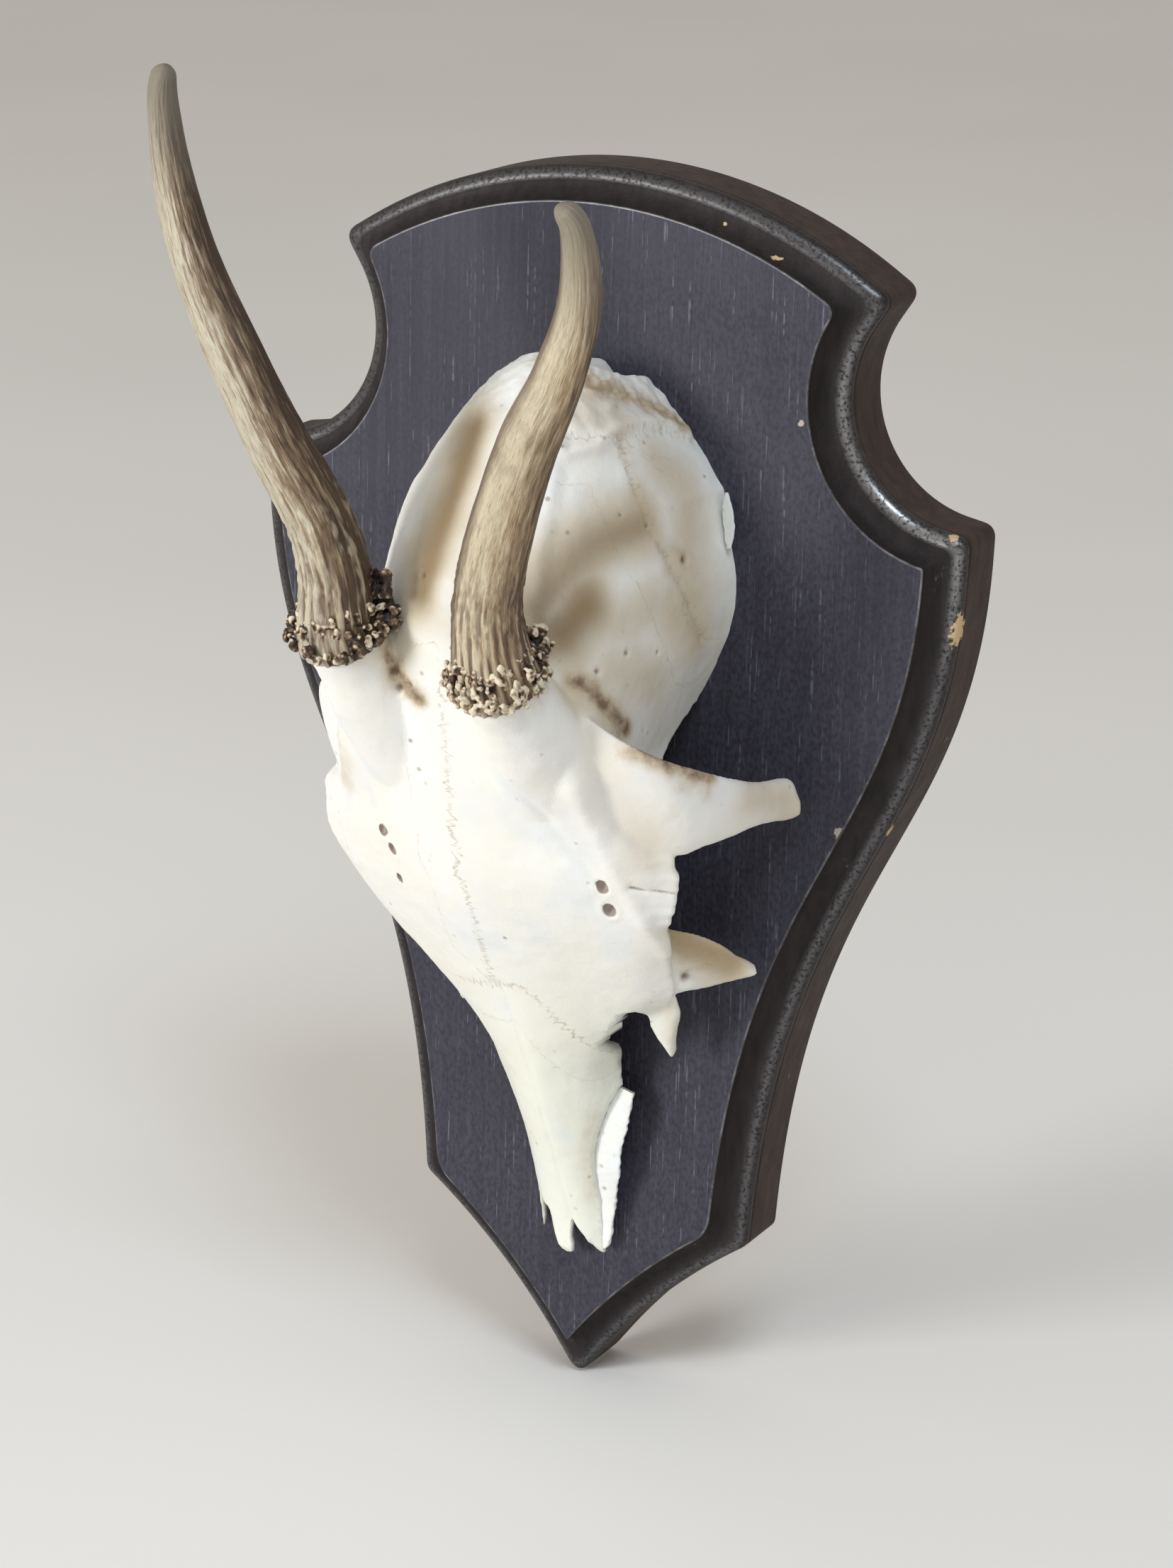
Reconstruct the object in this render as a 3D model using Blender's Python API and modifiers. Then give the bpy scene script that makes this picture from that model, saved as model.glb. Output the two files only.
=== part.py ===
"""Antler mounting plaque: a roebuck's skull cap with two spike antlers on a shield-shaped board.

Frame: metres, +Z up. The board hangs with its back in the plane Y = 0 and its face towards -Y,
and the origin is the point of the back that lies on the wall, at the widest part of the board.
Inside this script lengths are millimetres. A board point is (x, h, z): x to the viewer's right,
h out from the board's front face, z up from the foot of the board's flat face.
"""
import math

import bmesh
import bpy
import numpy as np
from mathutils import Matrix, Vector

MM = 0.001

# Board
BOARD_THICKNESS = 18.5
FACE_HEIGHT = 226.0
TOP_CORNER_X = 48.7
TOP_CORNER_Z = 212.0
EAR_X = 67.9
EAR_Z = 167.9
SCALLOP_DEPTH = 13.1
SIDE_BULGE_X = 67.0
SIDE_BULGE_Z = 113.3
SIDE_WAIST_X = 35.3
SIDE_WAIST_Z = 108.6
FOOT_CORNER_X = 30.2
FOOT_CORNER_Z = 30.1
FOOT_HOLLOW = 1.7

# Moulding round the face: a cove, then a bead that turns into the side
COVE_WIDTH = 3.3
COVE_DEPTH = 4.1
BEAD_WIDTH = 2.6
BEAD_DEPTH = 2.2
FACE_TOP_RADIUS = 2.6
FACE_EAR_RADIUS = 0.8
FACE_FOOT_RADIUS = 8.0
FACE_TIP_RADIUS = 0.6
EDGE_RADIUS = 2.8

# Skull cap: drawn on a cap of the drawn length, then scaled to the real one
SKULL_LENGTH = 175.0
DRAWN_LENGTH = 175.0
DRAWN_NOSE = 21.0
SEAT_GAP = 0.3
BONE_WALL = 3.0
CUT_ROLL = 6.0
NOSE_Z = 21.0
NOSE_X = 2.0

# Thickness of the loose edges of bone, on the same drawing
BROW_THICKNESS = 3.4
LACRIMAL_THICKNESS = 3.0
CHEEK_THICKNESS = 2.6
SLIVER_THICKNESS = 2.0
BLADE_SIDES = 12
BLADE_FULLNESS = 0.7

# Antlers, on the same drawing
BURR_RADIUS = 10.3
BURR_HEIGHT = 6.0
NODULES = 13
NODULE_RADIUS = 2.4
PEDICLE_RADIUS = 7.2
BEAM_RADIUS = 6.3
TIP_RADIUS = 1.9

# Mesh fineness
VOXEL = 0.9
SKULL_FACES = 7200


def remove_old_objects():
    for old in list(bpy.data.objects):
        bpy.data.objects.remove(old, do_unlink=True)


def make_collection(name):
    group = bpy.data.collections.new(name)
    bpy.context.scene.collection.children.link(group)
    return group


def make_material(name, colour, roughness):
    material = bpy.data.materials.new(name)
    material.use_nodes = True
    shader = material.node_tree.nodes["Principled BSDF"]
    shader.inputs["Base Color"].default_value = (*colour, 1.0)
    shader.inputs["Roughness"].default_value = roughness
    shader.inputs["Metallic"].default_value = 0.0
    return material


def add_object(name, mesh, group, material=None):
    piece = bpy.data.objects.new(name, mesh)
    if material is not None:
        mesh.materials.append(material)
    group.objects.link(piece)
    return piece


def mesh_from(name, points, faces):
    mesh = bpy.data.meshes.new(name)
    mesh.from_pydata([tuple(p) for p in points], [], faces)
    mesh.update()
    return mesh


def baked(piece):
    """The object's evaluated mesh as a new mesh of its own."""
    graph = bpy.context.evaluated_depsgraph_get()
    graph.update()
    return bpy.data.meshes.new_from_object(piece.evaluated_get(graph))


# Board outline

def arc_through(start, end, sagitta, count=40):
    """Points on the circular arc from start to end that stands off its chord by sagitta."""
    start, end = np.array(start, float), np.array(end, float)
    chord = end - start
    length = np.linalg.norm(chord)
    side = np.array([-chord[1], chord[0]]) / length
    radius = (length * length / 4 + sagitta * sagitta) / (2 * sagitta)
    centre = (start + end) / 2 + side * (sagitta - radius)
    crown = (start + end) / 2 + side * sagitta
    middle = math.atan2(*(crown - centre)[::-1])

    def near_middle(point):
        angle = math.atan2(*(point - centre)[::-1])
        return middle + (angle - middle + math.pi) % (2 * math.pi) - math.pi

    angles = np.linspace(near_middle(start), near_middle(end), count)
    return centre + abs(radius) * np.stack([np.cos(angles), np.sin(angles)], 1)


def cubic(p, a, b, q, count=60):
    t = np.linspace(0, 1, count)[:, None]
    p, a, b, q = (np.array(v, float) for v in (p, a, b, q))
    return (1 - t) ** 3 * p + 3 * (1 - t) ** 2 * t * a + 3 * (1 - t) * t * t * b + t ** 3 * q


def face_outline():
    """Right half of the flat face's edge, from the top centre to the foot, as four smooth runs."""
    rise = FACE_HEIGHT - TOP_CORNER_Z
    top_radius = (TOP_CORNER_X ** 2 + rise ** 2) / (2 * rise)
    reach = math.asin(TOP_CORNER_X / top_radius)
    angles = np.linspace(0, reach, 40)
    top = np.stack([top_radius * np.sin(angles),
                    FACE_HEIGHT - top_radius + top_radius * np.cos(angles)], 1)
    scallop = arc_through((TOP_CORNER_X, TOP_CORNER_Z), (EAR_X, EAR_Z), -SCALLOP_DEPTH)
    side = cubic((EAR_X, EAR_Z), (SIDE_BULGE_X, SIDE_BULGE_Z),
                 (SIDE_WAIST_X, SIDE_WAIST_Z), (FOOT_CORNER_X, FOOT_CORNER_Z))
    foot = arc_through((FOOT_CORNER_X, FOOT_CORNER_Z), (0, 0), -FOOT_HOLLOW)
    return [top, scallop, side, foot]


def outset(run, distance):
    """The run moved outwards; outwards is left of its direction of travel."""
    step = np.gradient(run, axis=0)
    step /= np.linalg.norm(step, axis=1)[:, None]
    return run + np.stack([-step[:, 1], step[:, 0]], 1) * distance


RUN_OVERSHOOT = 25.0


def extended(run):
    """The run with both its ends carried straight on, so that neighbours cross."""
    first = run[0] - run[1]
    last = run[-1] - run[-2]
    return np.concatenate([[run[0] + first / np.linalg.norm(first) * RUN_OVERSHOOT], run,
                           [run[-1] + last / np.linalg.norm(last) * RUN_OVERSHOOT]])


def cross(a, b):
    """Where two point runs cross: (index on a, index on b, point); the one nearest their joint."""
    best = None
    for i in range(len(a) - 1):
        p, r = a[i], a[i + 1] - a[i]
        q, s = b[:-1], b[1:] - b[:-1]
        det = r[0] * s[:, 1] - r[1] * s[:, 0]
        det = np.where(abs(det) < 1e-12, 1e-12, det)
        t = ((q - p)[:, 0] * s[:, 1] - (q - p)[:, 1] * s[:, 0]) / det
        u = ((q - p)[:, 0] * r[1] - (q - p)[:, 1] * r[0]) / det
        for j in np.nonzero((t >= 0) & (t < 1) & (u >= 0) & (u < 1))[0]:
            score = (len(a) - i) + j
            if best is None or score < best[0]:
                best = (score, i, int(j), p + t[j] * r)
    return best[1:]


def without_repeats(run):
    steps = np.linalg.norm(np.diff(run, axis=0), axis=1)
    return run[np.r_[True, steps > 1e-6]]


def resample(run, count, start=0.0, end=None):
    """count points evenly along the run between two distances from its start."""
    length = np.r_[0, np.cumsum(np.linalg.norm(np.diff(run, axis=0), axis=1))]
    end = length[-1] if end is None else end
    at = np.linspace(start, end, count)
    return np.stack([np.interp(at, length, run[:, k]) for k in range(2)], 1)


# Points on the top's half, the scallop, the side and the foot, and on each rounded corner
RUN_POINTS = (12, 11, 16, 6)
CORNER_POINTS = 4


def ring(distance, radii):
    """Closed outline, distance outside the face's edge, with its corners rounded by radii."""
    runs = [outset(run, distance) for run in face_outline()]
    left_top = runs[0][::-1] * [-1, 1]
    mirrored_foot = runs[3][::-1] * [-1, 1]
    chain = [np.concatenate([left_top[:-1], runs[0]]), runs[1], runs[2], runs[3], mirrored_foot]
    chain = [extended(run) for run in chain]
    for k in range(4):
        i, j, corner = cross(chain[k], chain[k + 1])
        chain[k] = without_repeats(np.concatenate([chain[k][:i + 1], [corner]]))
        chain[k + 1] = without_repeats(np.concatenate([[corner], chain[k + 1][j + 1:]]))
    top = chain[0]
    top = top[top[:, 0] >= 0]
    chain = [without_repeats(np.concatenate([[[0.0, top[0, 1]]], top]))] + chain[1:4]
    lengths = [np.linalg.norm(np.diff(run, axis=0), axis=1).sum() for run in chain]
    cuts = []
    for k in range(4):
        before = chain[k][-1] - chain[k][-2]
        after = chain[k + 1][1] - chain[k + 1][0] if k < 3 else before * [1, -1]
        turn = math.acos(np.clip(before @ after / np.linalg.norm(before) / np.linalg.norm(after), -1, 1))
        cuts.append(radii[k] * math.tan(turn / 2))
    half = []
    for k, run in enumerate(chain):
        start = cuts[k - 1] if k else 0.0
        half.append(resample(run, RUN_POINTS[k], start, lengths[k] - cuts[k]))
        corner = run[-1]
        if k < 3:
            following = resample(chain[k + 1], 2, cuts[k], lengths[k + 1])[0]
        else:
            following = half[-1][-1] * [-1, 1]
        t = np.linspace(0, 1, CORNER_POINTS + 2)[1:-1, None]
        bend = (1 - t) ** 2 * half[-1][-1] + 2 * (1 - t) * t * corner + t * t * following
        half.append(bend)
    right = np.concatenate(half)
    keep = len(right) - CORNER_POINTS // 2
    right = right[:keep]
    left = right[1:][::-1] * [-1, 1]
    return np.concatenate([right, left])


def moulding_levels():
    """(distance outside the face's edge, depth behind the face) down the moulding."""
    levels = [(0.0, 0.0)]
    for angle in np.linspace(0, math.pi / 2, 5)[1:]:
        levels.append((COVE_WIDTH * (1 - math.cos(angle)), COVE_DEPTH * math.sin(angle)))
    for angle in np.linspace(0, math.pi / 2, 5)[1:]:
        levels.append((COVE_WIDTH + BEAD_WIDTH * math.sin(angle),
                       COVE_DEPTH + BEAD_DEPTH * (1 - math.cos(angle))))
    return levels


def board_point(x, h, z):
    """Board millimetres to the part's metres."""
    return Vector((x * MM, (-BOARD_THICKNESS - h) * MM, (z - EAR_Z) * MM))


def make_board(group, material):
    face_radii = (FACE_TOP_RADIUS, FACE_EAR_RADIUS, FACE_FOOT_RADIUS, FACE_TIP_RADIUS)
    inner = ring(0.0, face_radii)
    outer = ring(COVE_WIDTH + BEAD_WIDTH, (EDGE_RADIUS,) * 4)
    count = len(inner)
    points = []
    for distance, depth in moulding_levels():
        share = distance / (COVE_WIDTH + BEAD_WIDTH)
        for x, z in inner * (1 - share) + outer * share:
            points.append(board_point(x, -depth, z))
    points += [board_point(x, -BOARD_THICKNESS, z) for x, z in outer]
    rows = len(points) // count
    faces = [list(range(count))[::-1]]
    for row in range(rows - 1):
        for k in range(count):
            n = (k + 1) % count
            a, b = row * count, (row + 1) * count
            faces.append([a + n, b + n, b + k, a + k])
    faces.append(list(range((rows - 1) * count, rows * count)))
    mesh = mesh_from("shield", points, faces)
    board = add_object("shield", mesh, group, material)
    mesh.shade_smooth()
    mesh.set_sharp_from_angle(angle=math.radians(30))
    return board


# Skull cap. Its own frame: a to the right of its midline, b up from its cut, c along the board.

def smooth_table(table, at):
    """A smooth curve through the rows (position, values...), read at each position."""
    rows = np.array(table, float)
    rows = rows[np.argsort(rows[:, 0])]
    x, y = rows[:, 0], rows[:, 1:]
    slope = np.gradient(y, x, axis=0)
    at = np.clip(np.atleast_1d(at), x[0], x[-1])
    i = np.clip(np.searchsorted(x, at, side="right") - 1, 0, len(x) - 2)
    width = (x[i + 1] - x[i])
    t = ((at - x[i]) / width)[:, None]
    width = width[:, None]
    return ((2 * t ** 3 - 3 * t ** 2 + 1) * y[i] + (t ** 3 - 2 * t ** 2 + t) * width * slope[i]
            + (-2 * t ** 3 + 3 * t ** 2) * y[i + 1] + (t ** 3 - t ** 2) * width * slope[i + 1])


# How far the braincase's wall runs below the drawing's cut, for the saw to trim
RIM_BASE = -6.0
# Position along the cap; height of the midline; shoulder across and up; rim across, left and right,
# and up
CAP_STATIONS = [
    (202.0, 16.0, 8.0, 12.6, 10.0, 10.0, RIM_BASE),
    (199.0, 22.0, 11.8, 16.6, 16.6, 16.6, RIM_BASE),
    (195.0, 27.4, 15.4, 20.2, 21.8, 21.8, RIM_BASE),
    (189.0, 33.0, 18.2, 23.6, 24.4, 24.4, RIM_BASE),
    (181.0, 40.0, 19.2, 28.2, 25.9, 25.9, RIM_BASE),
    (171.0, 47.0, 20.4, 33.2, 27.6, 27.2, RIM_BASE),
    (161.0, 50.4, 21.6, 35.6, 29.8, 29.4, RIM_BASE),
    (152.0, 50.2, 22.2, 37.5, 29.0, 28.8, RIM_BASE),
    (144.0, 48.2, 24.2, 42.0, 26.0, 25.6, -5.0),
    (137.0, 46.4, 26.4, 42.2, 23.6, 22.6, -2.0),
    (130.0, 44.6, 27.6, 40.6, 24.5, 23.0, 8.0),
    (124.0, 43.2, 28.0, 38.2, 31.0, 28.6, 21.0),
    (118.0, 42.2, 28.2, 35.8, 40.6, 37.4, 27.5),
    (112.0, 40.8, 27.8, 34.0, 42.6, 38.4, 26.5),
    (105.0, 38.2, 27.0, 31.2, 42.4, 36.8, 25.3),
    (98.0, 34.5, 25.8, 28.0, 39.5, 33.8, 22.5),
    (91.0, 30.0, 24.2, 24.0, 36.8, 31.8, 18.5),
    (84.0, 25.7, 21.8, 19.8, 34.2, 29.6, 14.0),
    (77.0, 22.2, 17.0, 16.5, 28.4, 22.0, 10.0),
    (71.0, 19.8, 12.0, 14.5, 23.4, 16.0, 8.0),
    (64.0, 17.0, 8.5, 12.8, 19.2, 13.0, 5.5),
    (56.0, 14.0, 7.0, 10.8, 15.8, 12.8, 4.0),
    (47.0, 10.6, 6.0, 8.2, 12.4, 10.8, 3.0),
    (37.0, 7.2, 5.2, 5.8, 9.6, 9.4, 2.2),
    (28.0, 5.0, 4.6, 4.2, 7.8, 8.4, 1.8),
    (19.0, 4.2, 4.2, 3.6, 6.6, 7.8, 1.6),
]
# The skull's back end: where it starts, how far it reaches, and how far its crest runs ahead of
# its sides and of its foot
NUCHAL_START = 177.0
NUCHAL_REACH = 25.0
NUCHAL_HALF_WIDTH = 16.0
NUCHAL_ARCH = 7.0
NUCHAL_HEIGHT = 20.0
NUCHAL_LEAN = 3.5
BACK_WALL = ((0.6, -2.2), (0.25, -3.6))
CAP_ROWS = 90
CAP_COLUMNS = 28


def place(a, b, c):
    """Skull frame to board points: drawn size, the roll of the cut, and its place on the board."""
    scale = SKULL_LENGTH / DRAWN_LENGTH
    roll = math.radians(CUT_ROLL)
    x = NOSE_X + (a * math.cos(roll) - b * math.sin(roll)) * scale
    h = (a * math.sin(roll) + b * math.cos(roll)) * scale
    z = NOSE_Z + (c - DRAWN_NOSE) * scale
    return x, h, z


def skull_point(p):
    return board_point(*place(*p))


def curve_through(points, t):
    """Smooth curve through equally spaced points, read at t from 0 to 1."""
    points = np.array(points, float)
    table = np.concatenate([np.linspace(0, 1, len(points))[:, None], points], axis=1)
    return smooth_table(table, t)


def cap_section(station, columns):
    """Outer outline (a, b) of the cap at one place along it; columns run from -1, left, to 1."""
    crown, shoulder_a, shoulder_b, rim_left, rim_right, rim_b = station
    left_shoulder = shoulder_a * (1 + rim_left / rim_right) / 2
    through = [(-rim_left, rim_b), (-left_shoulder, shoulder_b), (0.0, crown),
               (shoulder_a, shoulder_b), (rim_right, rim_b)]
    return curve_through(through, (columns + 1) / 2)


def cap_mesh():
    rows = np.linspace(CAP_STATIONS[-1][0], CAP_STATIONS[0][0], CAP_ROWS)
    columns = np.linspace(-1, 1, 2 * CAP_COLUMNS + 1)
    values = smooth_table(CAP_STATIONS, rows)
    grid = []
    for row, station in zip(rows, values):
        section = cap_section(station, columns)
        end = min(max((row - NUCHAL_START) / NUCHAL_REACH, 0.0), 1.0)
        arch = NUCHAL_ARCH * (section[:, 0] / NUCHAL_HALF_WIDTH) ** 2
        lean = NUCHAL_LEAN * np.clip(1 - section[:, 1] / NUCHAL_HEIGHT, 0.0, 1 - RIM_BASE / NUCHAL_HEIGHT)
        grid.append(np.stack([section[:, 0], section[:, 1], row - (arch + lean) * end], 1))
    crest = grid[-1]
    for share, reach in BACK_WALL:
        wall = crest.copy()
        wall[:, 0] *= share
        wall[:, 1] = RIM_BASE + (wall[:, 1] - RIM_BASE) * share
        wall[:, 2] += reach
        grid.append(wall)
    grid = np.array(grid)
    count = grid.shape[1]
    points = [skull_point(p) for p in grid.reshape(-1, 3)]
    faces = []
    for r in range(grid.shape[0] - 1):
        for k in range(count - 1):
            i = r * count + k
            faces.append([i, i + 1, i + count + 1, i + count])
    return mesh_from("cap", points, faces)


def blade_mesh(name, stations, thickness):
    """A blade of bone: at each station an ellipse from one edge point to the other."""
    stations = np.array(stations, float)
    lower, upper = stations[:, :3], stations[:, 3:6]
    centre = (lower + upper) / 2
    across = (upper - lower) / 2
    along = np.gradient(centre, axis=0)
    normal = np.cross(along, across)
    normal /= np.linalg.norm(normal, axis=1)[:, None]
    sides = BLADE_SIDES
    points = []
    for k in range(len(stations)):
        for angle in np.linspace(0, 2 * math.pi, sides, endpoint=False):
            wide = math.copysign(abs(math.cos(angle)) ** BLADE_FULLNESS, math.cos(angle))
            offset = across[k] * wide + normal[k] * math.sin(angle) * thickness / 2
            points.append(skull_point(centre[k] + offset))
    faces = [list(range(sides))[::-1]]
    for k in range(len(stations) - 1):
        for s in range(sides):
            n = (s + 1) % sides
            a, b = k * sides, (k + 1) * sides
            faces.append([a + s, a + n, b + n, b + s])
    last = (len(stations) - 1) * sides
    faces.append(list(range(last, last + sides)))
    return mesh_from(name, points, faces)


def bar_mesh(name, path, radii):
    """A tapering round bar: a curve through path with its bevel scaled at each point."""
    curve = bpy.data.curves.new(name, "CURVE")
    curve.dimensions = "3D"
    curve.bevel_depth = MM
    curve.bevel_resolution = 4
    curve.use_fill_caps = True
    spline = curve.splines.new("POLY")
    spline.points.add(len(path) - 1)
    for point, centre, radius in zip(spline.points, path, radii):
        point.co = (*skull_point(centre), 1.0)
        point.radius = radius * SKULL_LENGTH / DRAWN_LENGTH
    holder = add_object(name, curve, bpy.context.scene.collection)
    mesh = baked(holder)
    bpy.data.objects.remove(holder, do_unlink=True)
    bpy.data.curves.remove(curve)
    return mesh


def burr_mesh(name, centre, direction):
    """The burr: a thick disc round the antler's foot with a row of nodules on its rim."""
    scale = SKULL_LENGTH / DRAWN_LENGTH * MM
    up = (skull_point(centre + direction) - skull_point(centre)).normalized()
    turn = Vector((0, 0, 1)).rotation_difference(up)
    place_here = Matrix.LocRotScale(skull_point(centre), turn, (scale,) * 3)
    whole = bmesh.new()
    bmesh.ops.create_cone(whole, cap_ends=True, segments=24, radius1=BURR_RADIUS - NODULE_RADIUS,
                          radius2=BURR_RADIUS - NODULE_RADIUS, depth=BURR_HEIGHT)
    for k in range(NODULES):
        angle = 2 * math.pi * k / NODULES
        reach = BURR_RADIUS - NODULE_RADIUS
        at = Vector((reach * math.cos(angle), reach * math.sin(angle), (-1) ** k * NODULE_RADIUS / 3))
        bmesh.ops.create_icosphere(whole, subdivisions=2, radius=NODULE_RADIUS,
                                   matrix=Matrix.Translation(at))
    whole.transform(place_here)
    mesh = bpy.data.meshes.new(name)
    whole.to_mesh(mesh)
    whole.free()
    return mesh


def joined(name, meshes):
    """All meshes in one, before they are fused."""
    whole = bmesh.new()
    for mesh in meshes:
        whole.from_mesh(mesh)
        bpy.data.meshes.remove(mesh)
    result = bpy.data.meshes.new(name)
    bmesh.ops.recalc_face_normals(whole, faces=whole.faces)
    whole.to_mesh(result)
    whole.free()
    return result


# Right antler's centre line in the skull frame, and how far further back the left one lies at each
ANTLER_PATH = [
    (15.2, 34.0, 133.0), (16.4, 43.0, 140.5), (17.0, 49.6, 147.2), (17.2, 54.7, 153.5),
    (16.8, 56.9, 163.6), (19.0, 59.2, 173.0), (24.5, 62.9, 185.2), (31.0, 65.6, 198.8),
    (37.9, 67.2, 211.2), (42.4, 68.6, 223.5), (43.2, 71.2, 235.8), (41.0, 73.3, 240.2),
]
LEFT_LATER = [0.0, 0.5, 1.5, 2.6, 3.3, 3.9, 3.7, 3.9, 5.5, 7.8, 10.8, 13.9]
PEDICLE_SHARES = [1.75, 1.35, 1.06, 1.0]
BEAM_SHARES = [1.0, 0.93, 0.87, 0.82, 0.69, 0.58, 0.44]


# Curve points for each row of the path
POINTS_PER_ROW = 4


def antler_meshes(name, side):
    """One antler: pedicle and beam as a tapering bar, and the burr round their joint."""
    path = np.array(ANTLER_PATH)
    if side < 0:
        path[:, 2] += LEFT_LATER
    path[:, 0] *= side
    radii = [share * PEDICLE_RADIUS for share in PEDICLE_SHARES]
    radii += [share * BEAM_RADIUS for share in BEAM_SHARES] + [TIP_RADIUS]
    shares = np.linspace(0, 1, 1 + POINTS_PER_ROW * (len(path) - 1))
    bar = bar_mesh(name, curve_through(path, shares), curve_through(np.c_[radii], shares)[:, 0])
    burr_row = len(PEDICLE_SHARES) - 1
    direction = path[burr_row + 1] - path[burr_row - 1]
    return [bar, burr_mesh(name + "_burr", path[burr_row], direction)]


# Blades of bone on the right in the skull frame: front edge, then back edge, from root to tip
BROW_PROCESS = [
    (22.0, 38.0, 126.0, 20.0, 40.0, 147.0),
    (30.0, 32.0, 119.0, 30.0, 38.5, 141.5),
    (37.0, 26.5, 117.0, 37.5, 34.0, 137.3),
    (40.5, 22.5, 118.5, 41.8, 26.0, 133.6),
    (42.2, 17.5, 119.0, 43.8, 18.0, 130.6),
    (43.6, 12.0, 119.8, 44.3, 11.0, 128.3),
    (44.2, 6.5, 119.6, 44.5, 5.5, 127.6),
    (44.8, 2.0, 118.9, 45.0, 1.5, 126.6),
    (46.0, -0.4, 119.5, 45.9, 0.0, 123.0),
]
LACRIMAL_PRONG = [
    (27.0, 14.0, 84.0, 28.0, 17.5, 98.5),
    (30.5, 9.5, 84.2, 31.0, 10.5, 95.3),
    (34.4, 6.0, 85.2, 35.5, 6.2, 93.4),
    (37.2, 3.6, 86.0, 38.0, 3.4, 90.8),
    (39.3, 1.6, 87.2, 39.6, 1.6, 88.9),
]
CHEEK_PRONG = [
    (18.5, 12.5, 79.0, 28.5, 13.0, 86.0),
    (21.5, 9.5, 76.5, 28.4, 9.5, 80.0),
    (23.6, 7.5, 73.2, 27.2, 7.5, 74.6),
    (24.6, 5.5, 70.6, 26.0, 5.5, 71.0),
]
NASAL_SLIVER = [
    (10.0, 3.0, 62.0, 14.6, 2.0, 60.0),
    (8.6, 1.8, 52.0, 13.0, 1.6, 53.0),
    (8.4, 1.4, 40.0, 11.4, 1.4, 41.0),
    (8.0, 1.4, 24.0, 9.6, 1.4, 24.5),
]


# How far the hidden left blades stay off the board
LEFT_BLADE_CLEARANCE = 1.2


def mirrored(stations):
    """The same blade on the cap's left, kept clear of the board under the roll of the cut."""
    lowest = LEFT_BLADE_CLEARANCE / math.cos(math.radians(CUT_ROLL))
    lean = math.tan(math.radians(CUT_ROLL))
    result = []
    for row in stations:
        points = []
        for a, b, c in (row[:3], row[3:]):
            points += [-a, max(b, a * lean + lowest), c]
        result.append(points)
    return result


# Breaks cut through the bone, as corners (a, c) in the skull frame
NOSE_BREAK = [
    (-16.0, 8.0), (-16.0, 21.0), (-7.4, 22.2), (-5.7, 30.2), (-2.6, 20.4), (1.4, 21.6),
    (1.3, 27.8), (3.8, 25.4), (6.8, 22.8), (9.4, 24.0), (16.0, 24.0), (16.0, 8.0),
]
ETHMOID_NOTCH = [
    (11.2, 69.2), (13.2, 73.4), (16.6, 76.9), (21.2, 78.0), (24.4, 75.6), (26.6, 71.0),
    (29.0, 66.0), (17.0, 66.0),
]


# How far the cutters reach, below and above the drawing's cut, and across
CUTTER_LOW = -20.0
CUTTER_HIGH = 40.0
SAW_DEPTH = 40.0
SAW_SPAN = 800.0


def prism_mesh(name, corners):
    """A cutter: the outline carried straight through the bone."""
    count = len(corners)
    points = [skull_point((a, b, c)) for b in (CUTTER_LOW, CUTTER_HIGH) for a, c in corners]
    faces = [list(range(count)), list(range(count, 2 * count))[::-1]]
    for k in range(count):
        n = (k + 1) % count
        faces.append([n, k, k + count, n + count])
    prism = bmesh.new()
    prism.from_mesh(mesh_from(name, points, faces))
    bmesh.ops.recalc_face_normals(prism, faces=prism.faces)
    mesh = bpy.data.meshes.new(name)
    prism.to_mesh(mesh)
    prism.free()
    return mesh


def saw_mesh():
    """The cutter of the flat sawn underside: all that lies behind the seat on the board."""
    block = bmesh.new()
    bmesh.ops.create_cube(block, size=1.0)
    size = Matrix.Diagonal((SAW_SPAN * MM, SAW_DEPTH * MM, SAW_SPAN * MM, 1.0))
    block.transform(Matrix.Translation(board_point(0, SEAT_GAP - SAW_DEPTH / 2, 0)) @ size)
    mesh = bpy.data.meshes.new("saw_cut")
    block.to_mesh(mesh)
    block.free()
    return mesh


def cut_away(piece, name, mesh, cutters):
    tool = add_object(name, mesh, cutters)
    tool.hide_render = True
    tool.display_type = "WIRE"
    cut = piece.modifiers.new(name, "BOOLEAN")
    cut.operation = "DIFFERENCE"
    cut.solver = "EXACT"
    cut.object = tool


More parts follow.
